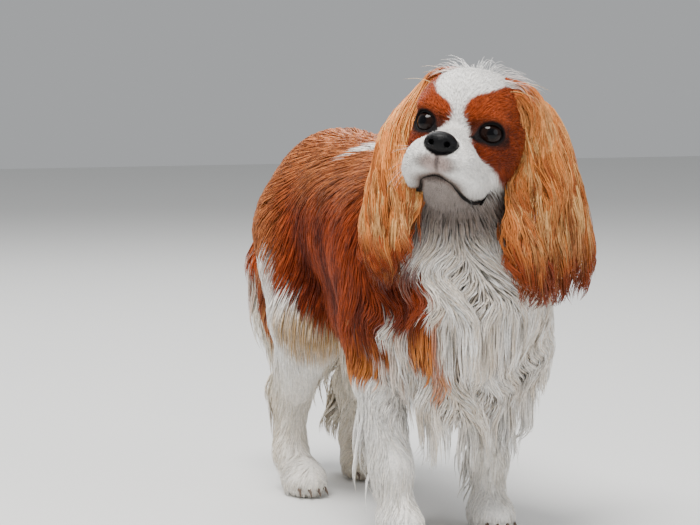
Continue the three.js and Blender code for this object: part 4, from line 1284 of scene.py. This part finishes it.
def lips():
    """A dark rolled rim along the seam of the mouth, from corner to corner."""
    half, sides = 30, 10
    x = np.linspace(-half, half, 67)
    p = columns(x, -44 + 0.075 * x * x, -40 - 0.02 * x * x)
    for _ in range(30):  # onto the surface and the seam in turn, each point at its own x
        for field in (HEAD_JOIN, lambda q: face_join(q) - jaw_field(q)):
            g = columns(*((field(p + e) - field(p - e)) / 0.6 for e in 0.3 * np.eye(3)))
            g[:, 0] = 0
            step = g * (field(p) / np.maximum((g * g).sum(1), 0.05))[:, None]
            p = p - np.clip(step, -1.5, 1.5)
    out = slope_of(HEAD_JOIN, p)
    across = unit(np.cross(unit(np.gradient(p, axis=0)), out))
    far = np.abs(x) / half
    p = p + out * (1.3 * smooth(far, 0.35, 0.8) - 0.4)[:, None]
    r = (0.34 + 1.9 * smooth(far, 0.4, 0.8)) * np.sqrt(np.clip(1.02 - far**8, 0, 1))
    a = (angles(sides))[None, :, None]
    ring = across[:, None] * np.cos(a) * 1.1 + out[:, None] * (np.sin(a) * 0.7 + 0.1)
    verts = (p[:, None] + ring * r[:, None, None]).reshape(-1, 3)
    uv = np.clip(verts[:, [0, 2]] / 80 + (0.5, 0.9), 0, 1)
    faces = quads(len(x), sides)
    mesh_piece("lips", from_head(verts), faces, LID_SKIN, None, uv)


def claws():
    rings, sides = 6, 8
    paws = [(*FORE_PAWS[s], 28) for s in SIDES]
    x, y = HIND_PAW
    paws += [(x, y + LEFT_HIND_REACH, 27), (-x, y, 27)]
    f = np.repeat(np.arange(rings) / (rings - 1), sides)
    a = np.tile(angles(sides), rings)
    thick = (1.7 * (1 - f) ** 0.7 + 0.12)[:, None]
    ring = thick * columns(np.cos(a), -0.4 * np.sin(a) * f, np.sin(a))
    verts, faces = [], []
    for x, y, reach in paws:
        for k in (-1.5, -0.5, 0.5, 1.5):  # the toes
            root = (x + 8.2 * k, y - reach + 4 + 2.2 * k * k, 9.0)
            faces.append(quads(rings, sides) + rings * sides * len(verts))
            verts.append(root + columns(0.8 * k * f, -7.0 * f, -1.0 * f - 5.0 * f * f) + ring)
    verts, faces = np.concatenate(verts), np.concatenate(faces)
    uv = np.clip((verts[:, :2] + 150) / 400, 0, 1)
    mesh_piece("claws", verts, faces, CLAW_HORN, None, uv)


def loose_hairs(name, roots, way, droop, size, width, colour, rings=7):
    """Single long hairs in the head's own frame that bend towards droop."""
    count = len(roots)
    t = (np.arange(rings + 1) / rings)[None, :, None]
    paths = roots[:, None] + (way[:, None] * t + droop[:, None] * t * t) * size[:, None, None]
    paths = from_head(paths.reshape(-1, 3)).reshape(count, rings + 1, 3)
    outs = np.repeat(unit(np.cross(way, droop) + 1e-3)[:, None], rings, 1) @ HEAD_TURN.T
    uv = rng.random((count, 2)) * 0.9
    wide, shape = np.full(count, width), np.linspace(1, 0.35, rings)
    coat_piece(name, paths, outs, wide, wide * 0.8, shape, (colour, colour), uv)


def whiskers():
    count = 36
    s = np.where(np.arange(count) % 2, 1, -1)
    f = rng.random((3, count))
    roots = columns(s * (13 + 14 * f[0]), -42 + 24 * f[0], -37 + 14 * f[1])
    way = unit(columns(s * (0.8 + 0.5 * f[2]), -0.8 + 1.3 * f[0], -1.0 + 1.0 * f[1]))
    droop = columns(0, 0.3, -0.3 + 0.5 * (f[2] - 0.5))
    size = rng.uniform(14, 34, count)
    loose_hairs("whiskers", roots, way, droop, size, 0.17, np.full((count, 3), WHITE))


def wisps():
    """Loose hairs that stand up from the crown and from the roots of the ears."""
    count = 110
    f = rng.random((4, count))
    x, y = -28 + 56 * f[0], 8 + 46 * f[1]
    z = 12 + 43 * np.sqrt(np.clip(1 - (x / 47) ** 2 - ((y - 46) / 54) ** 2, 0.05, 1))
    roots = columns(x, y, z)
    way = unit(columns(x / 40 + 0.5 * (f[2] - 0.5), -0.1 + 0.8 * f[3], 0.55 + 0.3 * f[2]))
    droop = columns(0.5 * x / 40, 0.35 + 0.2 * f[3], -0.45 - 0.3 * f[2])
    colour = blend(PALE_GOLD, WHITE, smooth(-red_on_head(roots), -3, 3))
    size = rng.uniform(14, 34, count)
    loose_hairs("coat_wisps", roots, way, droop, size, 0.42, colour)


for s in SIDES:
    eye(s)
    lids(s)
nose()
lips()
claws()
whiskers()
wisps()


# ---------------- camera, floor and light
def camera():
    """The photo's camera, worked out from the paws, the back and the face."""
    focal_pixels, picture_width, sensor = 2508, 700, 36
    aside, away, height = -0.0395, 2.2, 0.42
    downward, heading = 5.07, -21
    data = bpy.data.cameras.new("camera")
    data.sensor_width = sensor
    data.lens = focal_pixels / picture_width * sensor
    data.clip_start = 0.05
    obj = add_object("camera", data)
    place = aside * ACROSS_VIEW + away * TO_CAMERA + np.array([0, 0, height])
    obj.location = Vector(place + MM_SHIFT)
    obj.rotation_euler = (math.radians(90 - downward), 0, math.radians(heading))
    bpy.context.scene.camera = obj


def floor():
    verts = [(-6, -6, 0), (6, -6, 0), (6, 6, 0), (-6, 6, 0)]
    me = bpy.data.meshes.new("floor")
    me.from_pydata(verts, [], [(0, 1, 2, 3)])
    me.materials.append(gloss_material("pale_floor", (0.72, 0.72, 0.71), 0.8, vary=0.02))
    add_object("floor", me)


def light(name, size, power, place, aim, colour=(1, 1, 1)):
    data = bpy.data.lights.new(name, "AREA")
    data.shape = "DISK"
    data.size = size
    data.energy = power
    data.color = colour
    obj = add_object(name, data)
    obj.location = place
    obj.rotation_euler = (Vector(aim) - Vector(place)).to_track_quat("-Z", "Y").to_euler()


camera()
floor()
light("key", 1.6, 166, (-0.9, -0.7, 2.8), (0, 0, 0.22), (1.0, 0.985, 0.96))
light("fill", 2.2, 25, (1.6, -2.2, 1.2), (0, 0, 0.22), (0.97, 0.98, 1.0))
light("back", 1.8, 46, (0.2, 2.0, 2.2), (0, 0, 0.25))
world = bpy.data.worlds.new("studio")
world.use_nodes = True
world.node_tree.nodes["Background"].inputs["Color"].default_value = (0.86, 0.88, 0.9, 1)
world.node_tree.nodes["Background"].inputs["Strength"].default_value = 0.48
bpy.context.scene.world = world
